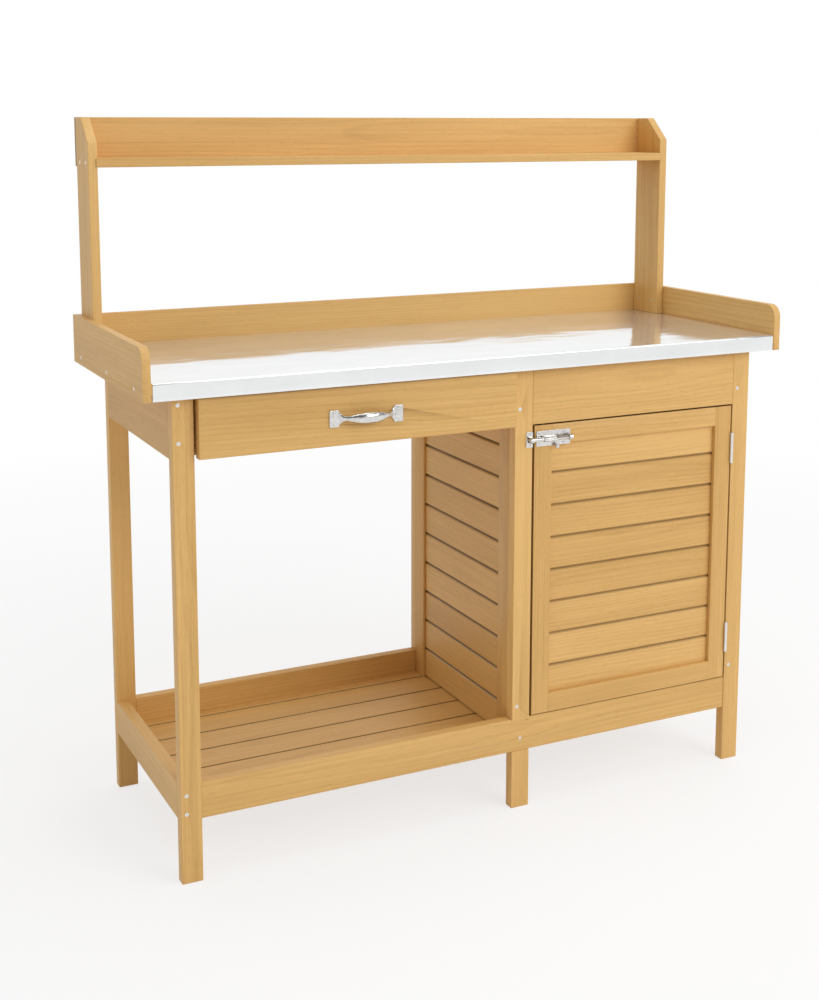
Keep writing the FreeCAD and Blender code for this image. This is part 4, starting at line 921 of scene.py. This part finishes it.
class BENCH_OT_hutch(bpy.types.Operator):
    """Uprights, shelf and back board above the worktop"""

    bl_idname = "bench.hutch"
    bl_label = "Hutch"

    def execute(self, context):
        # painted shade on the sides that meet another piece: the uprights' feet and the shelf's and back
        # board's ends
        for node, along, shaded_sides in (
            ("hutch_upright_left", "z", ("-z",)),
            ("hutch_upright_right", "z", ("-z",)),
            ("hutch_shelf", "x", ("x", "-x")),
            ("hutch_back_board", "x", ("x", "-x")),
        ):
            timber(f"{node}_wood", node, "frame", along, shaded_sides=shaded_sides)
        return {"FINISHED"}


class BENCH_OT_drawer(bpy.types.Operator):
    """Drawer front, box and bottom"""

    bl_idname = "bench.drawer"
    bl_label = "Drawer"

    def execute(self, context):
        wood = context.scene.bench_wood
        timber("drawer_front_wood", "drawer_front", "drawer", "x")
        for node, along in (
            ("drawer_side_left", "y"),
            ("drawer_side_right", "y"),
            ("drawer_back", "x"),
        ):
            timber(f"{node}_wood", node, "drawer", along)
        thin = wood_material("thin_plywood", wood.thin_light, wood.thin_dark, wood.ring * 3)
        timber(
            "drawer_bottom_wood",
            "drawer_bottom",
            "drawer",
            "x",
            edge=wood.edge * 0.3,
            material=thin,
            slot="thin_board",
        )
        return {"FINISHED"}


class BENCH_OT_door(bpy.types.Operator):
    """Door stiles and rails"""

    bl_idname = "bench.door"
    bl_label = "Door Frame"

    def execute(self, context):
        wood = context.scene.bench_wood
        # painted shade on the door's edges that face the gaps round it
        for node, along, shaded_sides in (
            ("door_stile_left", "z", ("-x", "z", "-z")),
            ("door_stile_right", "z", ("x", "z", "-z")),
            ("door_top_rail", "x", ("z", "x", "-x")),
            ("door_bottom_rail", "x", ("-z", "x", "-x")),
        ):
            timber(f"{node}_wood", node, "door", along, edge=wood.edge * 0.7, shaded_sides=shaded_sides)
        return {"FINISHED"}


def lofted(sections, sides=24):
    """A closed skin over elliptical sections, each (centre, width vector, height vector)."""
    shape = bmesh.new()
    rings = []
    for centre, wide, tall in sections:
        ring = []
        for step in range(sides):
            angle = 2 * math.pi * step / sides
            ring.append(shape.verts.new(centre + wide * math.cos(angle) + tall * math.sin(angle)))
        rings.append(ring)
    for first, second in zip(rings, rings[1:]):
        for step in range(sides):
            following = (step + 1) % sides
            shape.faces.new((first[step], first[following], second[following], second[step]))
    shape.faces.new(list(reversed(rings[0])))
    shape.faces.new(rings[-1])
    bmesh.ops.recalc_face_normals(shape, faces=shape.faces)
    return shape


def join_shapes(shapes):
    whole = bmesh.new()
    for shape in shapes:
        mesh = bpy.data.meshes.new("part")
        shape.to_mesh(mesh)
        shape.free()
        whole.from_mesh(mesh)
        bpy.data.meshes.remove(mesh)
    return whole


def plate_corners(left, right, bottom, top):
    return [(left, bottom), (right, bottom), (right, top), (left, top)]


def rounded_plate(corners, face_y, thickness, edge, corner_radius):
    """A plate with (x, z) corners that stands out from a face at face_y, towards the front."""
    shape = bmesh.new()
    back = [shape.verts.new((x, face_y, z)) for x, z in corners]
    front = [shape.verts.new((x, face_y - thickness, z)) for x, z in corners]
    count = len(corners)
    for index in range(count):
        following = (index + 1) % count
        shape.faces.new((back[index], back[following], front[following], front[index]))
    shape.faces.new(list(reversed(back)))
    shape.faces.new(front)
    bmesh.ops.recalc_face_normals(shape, faces=shape.faces)
    upright = [
        edge_
        for edge_ in shape.edges
        if abs((edge_.verts[0].co - edge_.verts[1].co).normalized().y) > 0.9
        and edge_.calc_face_angle() > math.radians(60)
    ]
    bmesh.ops.bevel(
        shape, geom=upright, offset=corner_radius, segments=4, profile=0.5, affect="EDGES"
    )
    rim = [
        edge_
        for edge_ in shape.edges
        if all(abs(vert.co.y - (face_y - thickness)) < 1e-6 for vert in edge_.verts)
        and edge_.calc_face_angle(0) > math.radians(30)
    ]
    bmesh.ops.bevel(shape, geom=rim, offset=edge, segments=3, profile=0.5, affect="EDGES")
    return shape


class BENCH_OT_handle(bpy.types.Operator):
    """Cast pull handle: two flared plates and a bowed grip that swells at its middle"""

    bl_idname = "bench.handle"
    bl_label = "Drawer Handle"

    def execute(self, context):
        low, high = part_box("drawer_handle")
        middle = (low + high) / 2
        plate, thick = 16.5 * MM, 2.5 * MM
        tall = (high.z - low.z) / 2
        shapes = []
        for side, edge_x in ((-1, low.x), (1, high.x)):
            inner_x = edge_x - side * plate
            corners = plate_corners(edge_x, inner_x, middle.z - tall, middle.z + tall)
            shapes.append(rounded_plate(corners, high.y, thick, 0.9 * MM, 1.8 * MM))
        # (from the handle's middle to its plate, grip's half height, half depth, height of the bow)
        half, reach = (high.x - low.x) / 2 - plate, high.y - low.y
        stations = (
            (0.0, 9.0, 5.0, 1.0),
            (0.14, 8.9, 5.0, 0.985),
            (0.28, 8.4, 4.8, 0.94),
            (0.42, 7.5, 4.5, 0.86),
            (0.55, 6.2, 4.1, 0.75),
            (0.66, 4.9, 3.7, 0.62),
            (0.75, 4.0, 3.3, 0.48),
            (0.82, 3.8, 2.9, 0.36),
            (0.88, 4.9, 2.5, 0.26),
            (0.93, 7.0, 2.0, 0.17),
            (0.97, 9.4, 1.6, 0.11),
            (1.01, 11.2, 1.3, 0.07),
            (1.06, 11.8, 1.1, 0.05),
        )
        mirrored = [(-at, *rest) for at, *rest in reversed(stations[1:])]
        deepest = reach - stations[0][2] * MM
        sections = []
        for at, height, depth, bow in mirrored + list(stations):
            lean = -1.1 * math.copysign(max(abs(at) - 0.1, 0) * (1 - abs(at)), at)
            normal = Vector((lean, -1, 0)).normalized()
            centre = Vector((middle.x + at * half, high.y - deepest * bow, middle.z))
            sections.append((centre, normal * (depth * MM), Vector((0, 0, height * MM))))
        shapes.append(lofted(sections, sides=24))
        piece = new_object("drawer_handle_cast", join_shapes(shapes), polished_steel(), smooth_angle=40)
        attach(piece, "drawer", "polished_steel", "drawer_handle")
        return {"FINISHED"}


def bar(start, end, stations, sides=24):
    """A round bar through (distance, radius) stations along it, as a lofted skin."""
    axis = (end - start).normalized()
    wide = axis.orthogonal().normalized()
    tall = axis.cross(wide)
    return lofted(
        [(start + axis * at, wide * size, tall * size) for at, size in stations], sides
    )


def ball(centre, radius):
    shape = bmesh.new()
    bmesh.ops.create_uvsphere(
        shape, u_segments=24, v_segments=14, radius=radius, matrix=Matrix.Translation(centre)
    )
    return shape


def hoop_skin(start, length, axis_y, axis_z, inner, outer, face_y, beads=()):
    """A strap bent over the bolt: feet at the plate and an arch round the bolt, swept along X."""
    outline = []
    steps = 14
    for step in range(steps + 1):
        angle = math.pi * step / steps
        outline.append((axis_y - outer * math.sin(angle), axis_z + outer * math.cos(angle)))
    outline += [(face_y, axis_z - outer), (face_y, axis_z - inner)]
    for step in range(steps + 1):
        angle = math.pi * (1 - step / steps)
        outline.append((axis_y - inner * math.sin(angle), axis_z + inner * math.cos(angle)))
    outline += [(face_y, axis_z + inner), (face_y, axis_z + outer)]
    shape = extruded(
        outline, Vector((start, 0, 0)), AXES["x"], length, AXES["z"], AXES["y"]
    )
    shapes = [shape]
    for angle in beads:
        centre_y = axis_y - (outer - 0.3 * MM) * math.cos(angle)
        centre_z = axis_z + (outer - 0.3 * MM) * math.sin(angle)
        ends = ((0, 0.5 * MM), (0.8 * MM, 1.2 * MM), (length - 0.8 * MM, 1.2 * MM), (length, 0.5 * MM))
        first = Vector((start, centre_y, centre_z))
        shapes.append(bar(first, first + AXES["x"] * length, ends, sides=12))
    return join_shapes(shapes)


class BENCH_OT_bolt(bpy.types.Operator):
    """Barrel bolt on the door and its keep on the middle leg"""

    bl_idname = "bench.bolt"
    bl_label = "Barrel Bolt"

    def execute(self, context):
        steel = polished_steel()
        bolt_low, bolt_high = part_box("sliding_bolt")
        plate_low, plate_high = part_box("bolt_plate")
        keep_low, keep_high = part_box("bolt_keep")
        radius = 4 * MM
        axis_z = (plate_low.z + plate_high.z) / 2
        face_y = plate_high.y
        thick, wall = 1.5 * MM, 1.5 * MM
        plate_rim, plate_corner = 0.4 * MM, 1.5 * MM
        axis_y = face_y - thick - wall - radius
        outer = radius + wall
        shapes = [
            rounded_plate(
                plate_corners(plate_low.x, plate_high.x, plate_low.z, plate_high.z),
                face_y,
                thick,
                plate_rim,
                plate_corner,
            )
        ]
        barrel_start = plate_low.x + 11 * MM
        beads = (-1.15, -0.4, 0.4, 1.15)
        inner = radius + 0.05 * MM
        shapes.append(
            hoop_skin(barrel_start, 24 * MM, axis_y, axis_z, inner, outer - 0.6 * MM, face_y, beads)
        )
        shapes.append(
            hoop_skin(plate_high.x - 6 * MM, 6 * MM, axis_y, axis_z, inner, outer, face_y)
        )
        piece = new_object("bolt_plate_pressed", join_shapes(shapes), steel, smooth_angle=35)
        attach(piece, "door", "polished_steel", "bolt_plate")

        shapes = [
            rounded_plate(
                plate_corners(keep_low.x, keep_high.x, keep_low.z, keep_high.z),
                face_y,
                thick,
                plate_rim,
                plate_corner,
            ),
            hoop_skin(
                keep_high.x - 9 * MM, 6 * MM, axis_y, axis_z, radius + 0.4 * MM, outer, face_y
            ),
        ]
        piece = new_object("bolt_keep_pressed", join_shapes(shapes), steel, smooth_angle=35)
        attach(piece, "frame", "polished_steel", "bolt_keep")

        start = Vector((bolt_low.x, axis_y, axis_z))
        length = bolt_high.x - bolt_low.x
        ends = (
            (0, radius * 0.55),
            (1.2 * MM, radius * 0.85),
            (2.4 * MM, radius * 0.98),
            (4 * MM, radius),
            (length - 1 * MM, radius),
            (length, radius * 0.8),
        )
        knob = Vector((barrel_start + 27.5 * MM, axis_y, bolt_low.z + 4.2 * MM))
        stem_top = Vector((knob.x, axis_y, axis_z))
        drop = (stem_top - knob).length
        stem = (
            (0, 2.6 * MM),
            (4.4 * MM, 2.2 * MM),
            (drop * 0.55, 1.7 * MM),
            (drop, 2.2 * MM),
        )
        shapes = [
            bar(start, start + AXES["x"] * length, ends),
            bar(stem_top, knob, stem),
            ball(knob, 4.2 * MM),
        ]
        piece = new_object("sliding_bolt_turned", join_shapes(shapes), steel, smooth_angle=40)
        attach(piece, "bolt", "polished_steel", "sliding_bolt")
        return {"FINISHED"}


class BENCH_OT_hinges(bpy.types.Operator):
    """Butt hinges: leaves with their knuckles, and the pins with rounded ends"""

    bl_idname = "bench.hinges"
    bl_label = "Hinges"

    def execute(self, context):
        steel = satin_steel()
        for node, body in (
            ("upper_hinge_frame_leaf", "frame"),
            ("lower_hinge_frame_leaf", "frame"),
            ("upper_hinge_door_leaf", "door"),
            ("lower_hinge_door_leaf", "door"),
        ):
            shape = merged(node)
            ease(shape, 0.25 * MM, segments=1, shortest=0.003)
            piece = new_object(f"{node}_steel", shape, steel, smooth_angle=40)
            attach(piece, body, "hinge_steel", node)
        shapes = []
        for pin in islands("hinge_pins"):
            low, high = corners_of(pin)
            middle = (low + high) / 2
            size = (high.x - low.x) / 2
            length = high.z - low.z
            ends = ((0, size * 0.5), (0.5 * MM, size), (length - 0.5 * MM, size), (length, size * 0.5))
            start = Vector((middle.x, middle.y, low.z))
            shapes.append(bar(start, start + AXES["z"] * length, ends))
        piece = new_object("hinge_pins_steel", join_shapes(shapes), steel, smooth_angle=40)
        attach(piece, "frame", "hinge_steel", "hinge_pins")
        return {"FINISHED"}


def islands(node):
    """The separate solids of a CAD node, each as a list of points."""
    shape = merged(node)
    seen, found = set(), []
    for vert in shape.verts:
        if vert in seen:
            continue
        group, waiting = [], [vert]
        seen.add(vert)
        while waiting:
            current = waiting.pop()
            group.append(current.co.copy())
            for edge in current.link_edges:
                other = edge.other_vert(current)
                if other not in seen:
                    seen.add(other)
                    waiting.append(other)
        found.append(group)
    shape.free()
    return found


def corners_of(points):
    low = Vector([min(point[axis] for point in points) for axis in range(3)])
    high = Vector([max(point[axis] for point in points) for axis in range(3)])
    return low, high


def screw_head(domed, recess):
    """A screw's head of radius 1 at the origin, looking along +Z, with a cross cut into it."""
    sides = 32
    shape = bmesh.new()
    if domed:
        profile = ((0.30, -0.40), (1.0, -0.40), (1.0, -0.22), (0.86, 0.0), (0.62, 0.12), (0.45, 0.16))
    else:
        profile = ((0.50, -0.62), (0.98, -0.05), (0.98, -0.02), (0.86, 0.02), (0.62, 0.04), (0.45, 0.045))
    rings = [
        [
            shape.verts.new((r * math.cos(2 * math.pi * k / sides), r * math.sin(2 * math.pi * k / sides), z))
            for k in range(sides)
        ]
        for r, z in profile
    ]
    for first, second in zip(rings, rings[1:]):
        for k in range(sides):
            n = (k + 1) % sides
            shape.faces.new((first[k], first[n], second[n], second[k]))
    shape.faces.new(list(reversed(rings[0])))
    # the cross: arm tips and waists between them, sunk to a floor
    top = profile[-1][1]
    cross = []
    for k in range(sides):
        arm = abs(math.cos(2 * 2 * math.pi * k / sides))
        reach = 0.10 + 0.30 * arm**3
        turn = 2 * math.pi * k / sides
        cross.append((reach * math.cos(turn), reach * math.sin(turn)))
    lip = [shape.verts.new((x, y, top)) for x, y in cross]
    floor = [shape.verts.new((x * 0.7, y * 0.7, top - recess)) for x, y in cross]
    for k in range(sides):
        n = (k + 1) % sides
        shape.faces.new((rings[-1][k], rings[-1][n], lip[n], lip[k]))
        shape.faces.new((lip[k], lip[n], floor[n], floor[k]))
    centre = shape.verts.new((0, 0, top - recess * 1.2))
    for k in range(sides):
        shape.faces.new((floor[k], floor[(k + 1) % sides], centre))
    bmesh.ops.recalc_face_normals(shape, faces=shape.faces)
    return shape


class BENCH_OT_screws(bpy.types.Operator):
    """Screw heads with a cross recess"""

    bl_idname = "bench.screws"
    bl_label = "Screws"

    def execute(self, context):
        metal = context.scene.bench_metal
        wood = context.scene.bench_wood
        for node, body in (
            ("frame_screws", "frame"),
            ("door_screws", "door"),
            ("drawer_screws", "drawer"),
        ):
            groups = {True: [], False: []}
            for index, points in enumerate(islands(node)):
                low, high = corners_of(points)
                spans = high - low
                axis = max(range(3), key=lambda k: spans[k])
                other = (axis + 1) % 3
                radius = spans[other] / 2
                ends = []
                for value, sign in ((low[axis], -1), (high[axis], 1)):
                    near = [p for p in points if abs(p[axis] - value) < 1.2 * MM]
                    middle = (low[other] + high[other]) / 2
                    ends.append((max(abs(p[other] - middle) for p in near), sign, value))
                _, sign, value = max(ends)
                outward = Vector((0, 0, 0))
                outward[axis] = sign
                place = (low + high) / 2
                place[axis] = value
                domed = radius < 2.5 * MM
                if domed:
                    place[axis] -= sign * 0.16 * radius
                else:
                    place[axis] -= sign * 0.05 * radius
                groups[domed].append((place, outward, radius, index))
            shapes = []
            for domed, found in groups.items():
                if not found:
                    continue
                points = bpy.data.meshes.new(f"{node}_points")
                points.from_pydata([place for place, _, _, _ in found], [], [])
                for title, kind in (("outward", "FLOAT_VECTOR"), ("radius", "FLOAT"), ("turn", "FLOAT")):
                    points.attributes.new(title, kind, "POINT")
                for spot, (_, outward, radius, index) in enumerate(found):
                    points.attributes["outward"].data[spot].vector = outward
                    points.attributes["radius"].data[spot].value = radius
                    luck = random.Random(f"{wood.seed}{node}{index}")
                    points.attributes["turn"].data[spot].value = luck.uniform(0, math.pi / 2)
                holder = bpy.data.objects.new(f"{node}_points", points)
                context.scene.collection.objects.link(holder)
                depth = metal.recess / found[0][2] * 0.7
                head = new_object("screw_head", screw_head(domed, depth))
                made = grown(
                    f"{node}_{'domed' if domed else 'flush'}",
                    holder,
                    screw_tree(),
                    head=head,
                    size=1.0,
                    material=satin_steel(),
                )
                bpy.data.objects.remove(head)
                shapes.append(made)
            keep = shapes[0]
            if len(shapes) > 1:
                whole = bmesh.new()
                for made in shapes:
                    whole.from_mesh(made.data)
                keep = new_object(f"{node}_heads", whole, satin_steel())
                for made in shapes:
                    bpy.data.objects.remove(made)
            keep.name = f"{node}_heads"
            keep.data.shade_smooth()
            keep.data.set_sharp_from_angle(angle=math.radians(35))
            attach(keep, body, "screw_steel", node)
        return {"FINISHED"}


# Studio


def look_light(name, place, target, size, power):
    light = bpy.data.lights.new(name, "AREA")
    light.shape = "RECTANGLE"
    light.size, light.size_y = size
    light.energy = power
    lamp = bpy.data.objects.new(name, light)
    bpy.context.scene.collection.objects.link(lamp)
    lamp.location = place
    lamp.rotation_mode = "QUATERNION"
    lamp.rotation_quaternion = (Vector(target) - Vector(place)).to_track_quat("-Z", "Y")
    return lamp


class BENCH_OT_stage(bpy.types.Operator):
    """Pale floor, soft lights and camera"""

    bl_idname = "bench.stage"
    bl_label = "Studio"

    def execute(self, context):
        studio = context.scene.bench_studio
        shape = bmesh.new()
        bmesh.ops.create_circle(shape, cap_ends=True, segments=96, radius=FLOOR_RADIUS)
        material, tree, shader = new_material("studio_floor")
        place = tree.nodes.new("ShaderNodeTexCoord")
        cloud = noise(tree, place.outputs["Object"], (0.6, 0.6, 0.6), detail=1.0)
        pale = studio.floor
        lighter = (*[min(1.0, value * 1.02) for value in pale], 1)
        tree.links.new(mixed(tree, cloud, (*pale, 1), lighter), shader.inputs["Base Color"])
        shader.inputs["Roughness"].default_value = 0.7
        shader.inputs["Specular IOR Level"].default_value = 0.2
        # the floor whitens away from the bench, so that it has no visible rim
        away = tree.nodes.new("ShaderNodeVectorMath")
        away.operation = "LENGTH"
        tree.links.new(place.outputs["Object"], away.inputs[0])
        past = math_node(tree, "SUBTRACT", away.outputs["Value"], FADE_START)
        ramp = math_node(tree, "DIVIDE", past, FADE_LENGTH, clamp=True)
        fade = math_node(tree, "ADD", 0.72, math_node(tree, "MULTIPLY", ramp, 0.28))
        sight = tree.nodes.new("ShaderNodeLightPath")
        white = add_node(tree, "ShaderNodeEmission", Color=(1, 1, 1, 1), Strength=1.0)
        blend = tree.nodes.new("ShaderNodeMixShader")
        mirrored = math_node(tree, "MULTIPLY", sight.outputs["Is Glossy Ray"], 0.8)
        seen = math_node(tree, "ADD", sight.outputs["Is Camera Ray"], mirrored)
        tree.links.new(math_node(tree, "MULTIPLY", fade, seen), blend.inputs[0])
        tree.links.new(shader.outputs[0], blend.inputs[1])
        tree.links.new(white.outputs[0], blend.inputs[2])
        tree.links.new(blend.outputs[0], tree.nodes["Material Output"].inputs["Surface"])
        floor = new_object("studio_floor", shape, material)
        floor.location.z = -0.0004

        world = bpy.data.worlds.new("studio")
        context.scene.world = world
        world.use_nodes = True
        tree = world.node_tree
        back = tree.nodes["Background"]
        direction = tree.nodes.new("ShaderNodeTexCoord")
        parts = tree.nodes.new("ShaderNodeSeparateXYZ")
        tree.links.new(direction.outputs["Generated"], parts.inputs[0])
        x, y, z = parts.outputs
        level = math_node(tree, "ADD", 0.62, math_node(tree, "MULTIPLY", x, 0.12))
        level = math_node(tree, "ADD", level, math_node(tree, "MULTIPLY", y, 0.14))
        # polished metal sees a dark room above and behind the camera
        front = math_node(tree, "MULTIPLY", math_node(tree, "SUBTRACT", -0.05, y), 5.0, clamp=True)
        above = math_node(tree, "MULTIPLY", math_node(tree, "SUBTRACT", z, 0.02), 6.0, clamp=True)
        dark = math_node(tree, "MULTIPLY", math_node(tree, "MULTIPLY", front, above), 0.82)
        mirror = math_node(tree, "SUBTRACT", 1.0, dark)
        sight = tree.nodes.new("ShaderNodeLightPath")
        glossy = sight.outputs["Is Glossy Ray"]
        camera_ray = sight.outputs["Is Camera Ray"]
        plain = math_node(tree, "SUBTRACT", 1.0, math_node(tree, "ADD", glossy, camera_ray), clamp=True)
        total = math_node(tree, "MULTIPLY", plain, level)
        total = math_node(tree, "ADD", total, math_node(tree, "MULTIPLY", glossy, mirror))
        tree.links.new(math_node(tree, "ADD", total, camera_ray), back.inputs["Strength"])
        back.inputs["Color"].default_value = (1, 1, 1, 1)

        look_light("key_light", (1.6, -3.0, 2.4), (0.0, 0.0, 0.6), (2.2, 1.6), studio.key)
        look_light("top_light", (0.2, -0.4, 3.6), (0.0, 0.0, 0.6), (3.0, 2.0), studio.key * 0.55)

        data = bpy.data.cameras.new("camera")
        data.lens = studio.lens
        data.sensor_width = 36.0
        data.shift_y = studio.shift
        camera = bpy.data.objects.new("camera", data)
        context.scene.collection.objects.link(camera)
        camera.location = studio.camera_place
        camera.rotation_euler = (math.pi / 2 - studio.tilt, 0, -studio.pan)
        context.scene.camera = camera
        context.scene.view_settings.view_transform = "Standard"
        return {"FINISHED"}


class BENCH_PT_panel(bpy.types.Panel):
    """Lists the bench's pieces and their settings"""

    bl_idname = "BENCH_PT_panel"
    bl_label = "Potting Bench"
    bl_space_type = "VIEW_3D"
    bl_region_type = "UI"
    bl_category = "Bench"

    def draw(self, context):
        for operator in OPERATORS:
            self.layout.operator(operator.bl_idname)
        for settings in (
            context.scene.bench_wood,
            context.scene.bench_metal,
            context.scene.bench_studio,
        ):
            for name in settings.__annotations__:
                self.layout.prop(settings, name)


OPERATORS = (
    BENCH_OT_frame,
    BENCH_OT_floor,
    BENCH_OT_boards,
    BENCH_OT_worktop,
    BENCH_OT_hutch,
    BENCH_OT_drawer,
    BENCH_OT_door,
    BENCH_OT_handle,
    BENCH_OT_bolt,
    BENCH_OT_hinges,
    BENCH_OT_screws,
    BENCH_OT_stage,
)
SETTINGS = {
    "bench_wood": BenchWoodSettings,
    "bench_metal": BenchMetalSettings,
    "bench_studio": BenchStudioSettings,
}


def register():
    for name, group in SETTINGS.items():
        bpy.utils.register_class(group)
        setattr(bpy.types.Scene, name, PointerProperty(type=group))
    for operator in OPERATORS:
        bpy.utils.register_class(operator)
    bpy.utils.register_class(BENCH_PT_panel)


def unregister():
    bpy.utils.unregister_class(BENCH_PT_panel)
    for operator in reversed(OPERATORS):
        bpy.utils.unregister_class(operator)
    for name, group in reversed(list(SETTINGS.items())):
        delattr(bpy.types.Scene, name)
        bpy.utils.unregister_class(group)


def main():
    register()
    for operator in OPERATORS:
        category, action = operator.bl_idname.split(".")
        getattr(getattr(bpy.ops, category), action)()


if __name__ == "__main__":
    main()
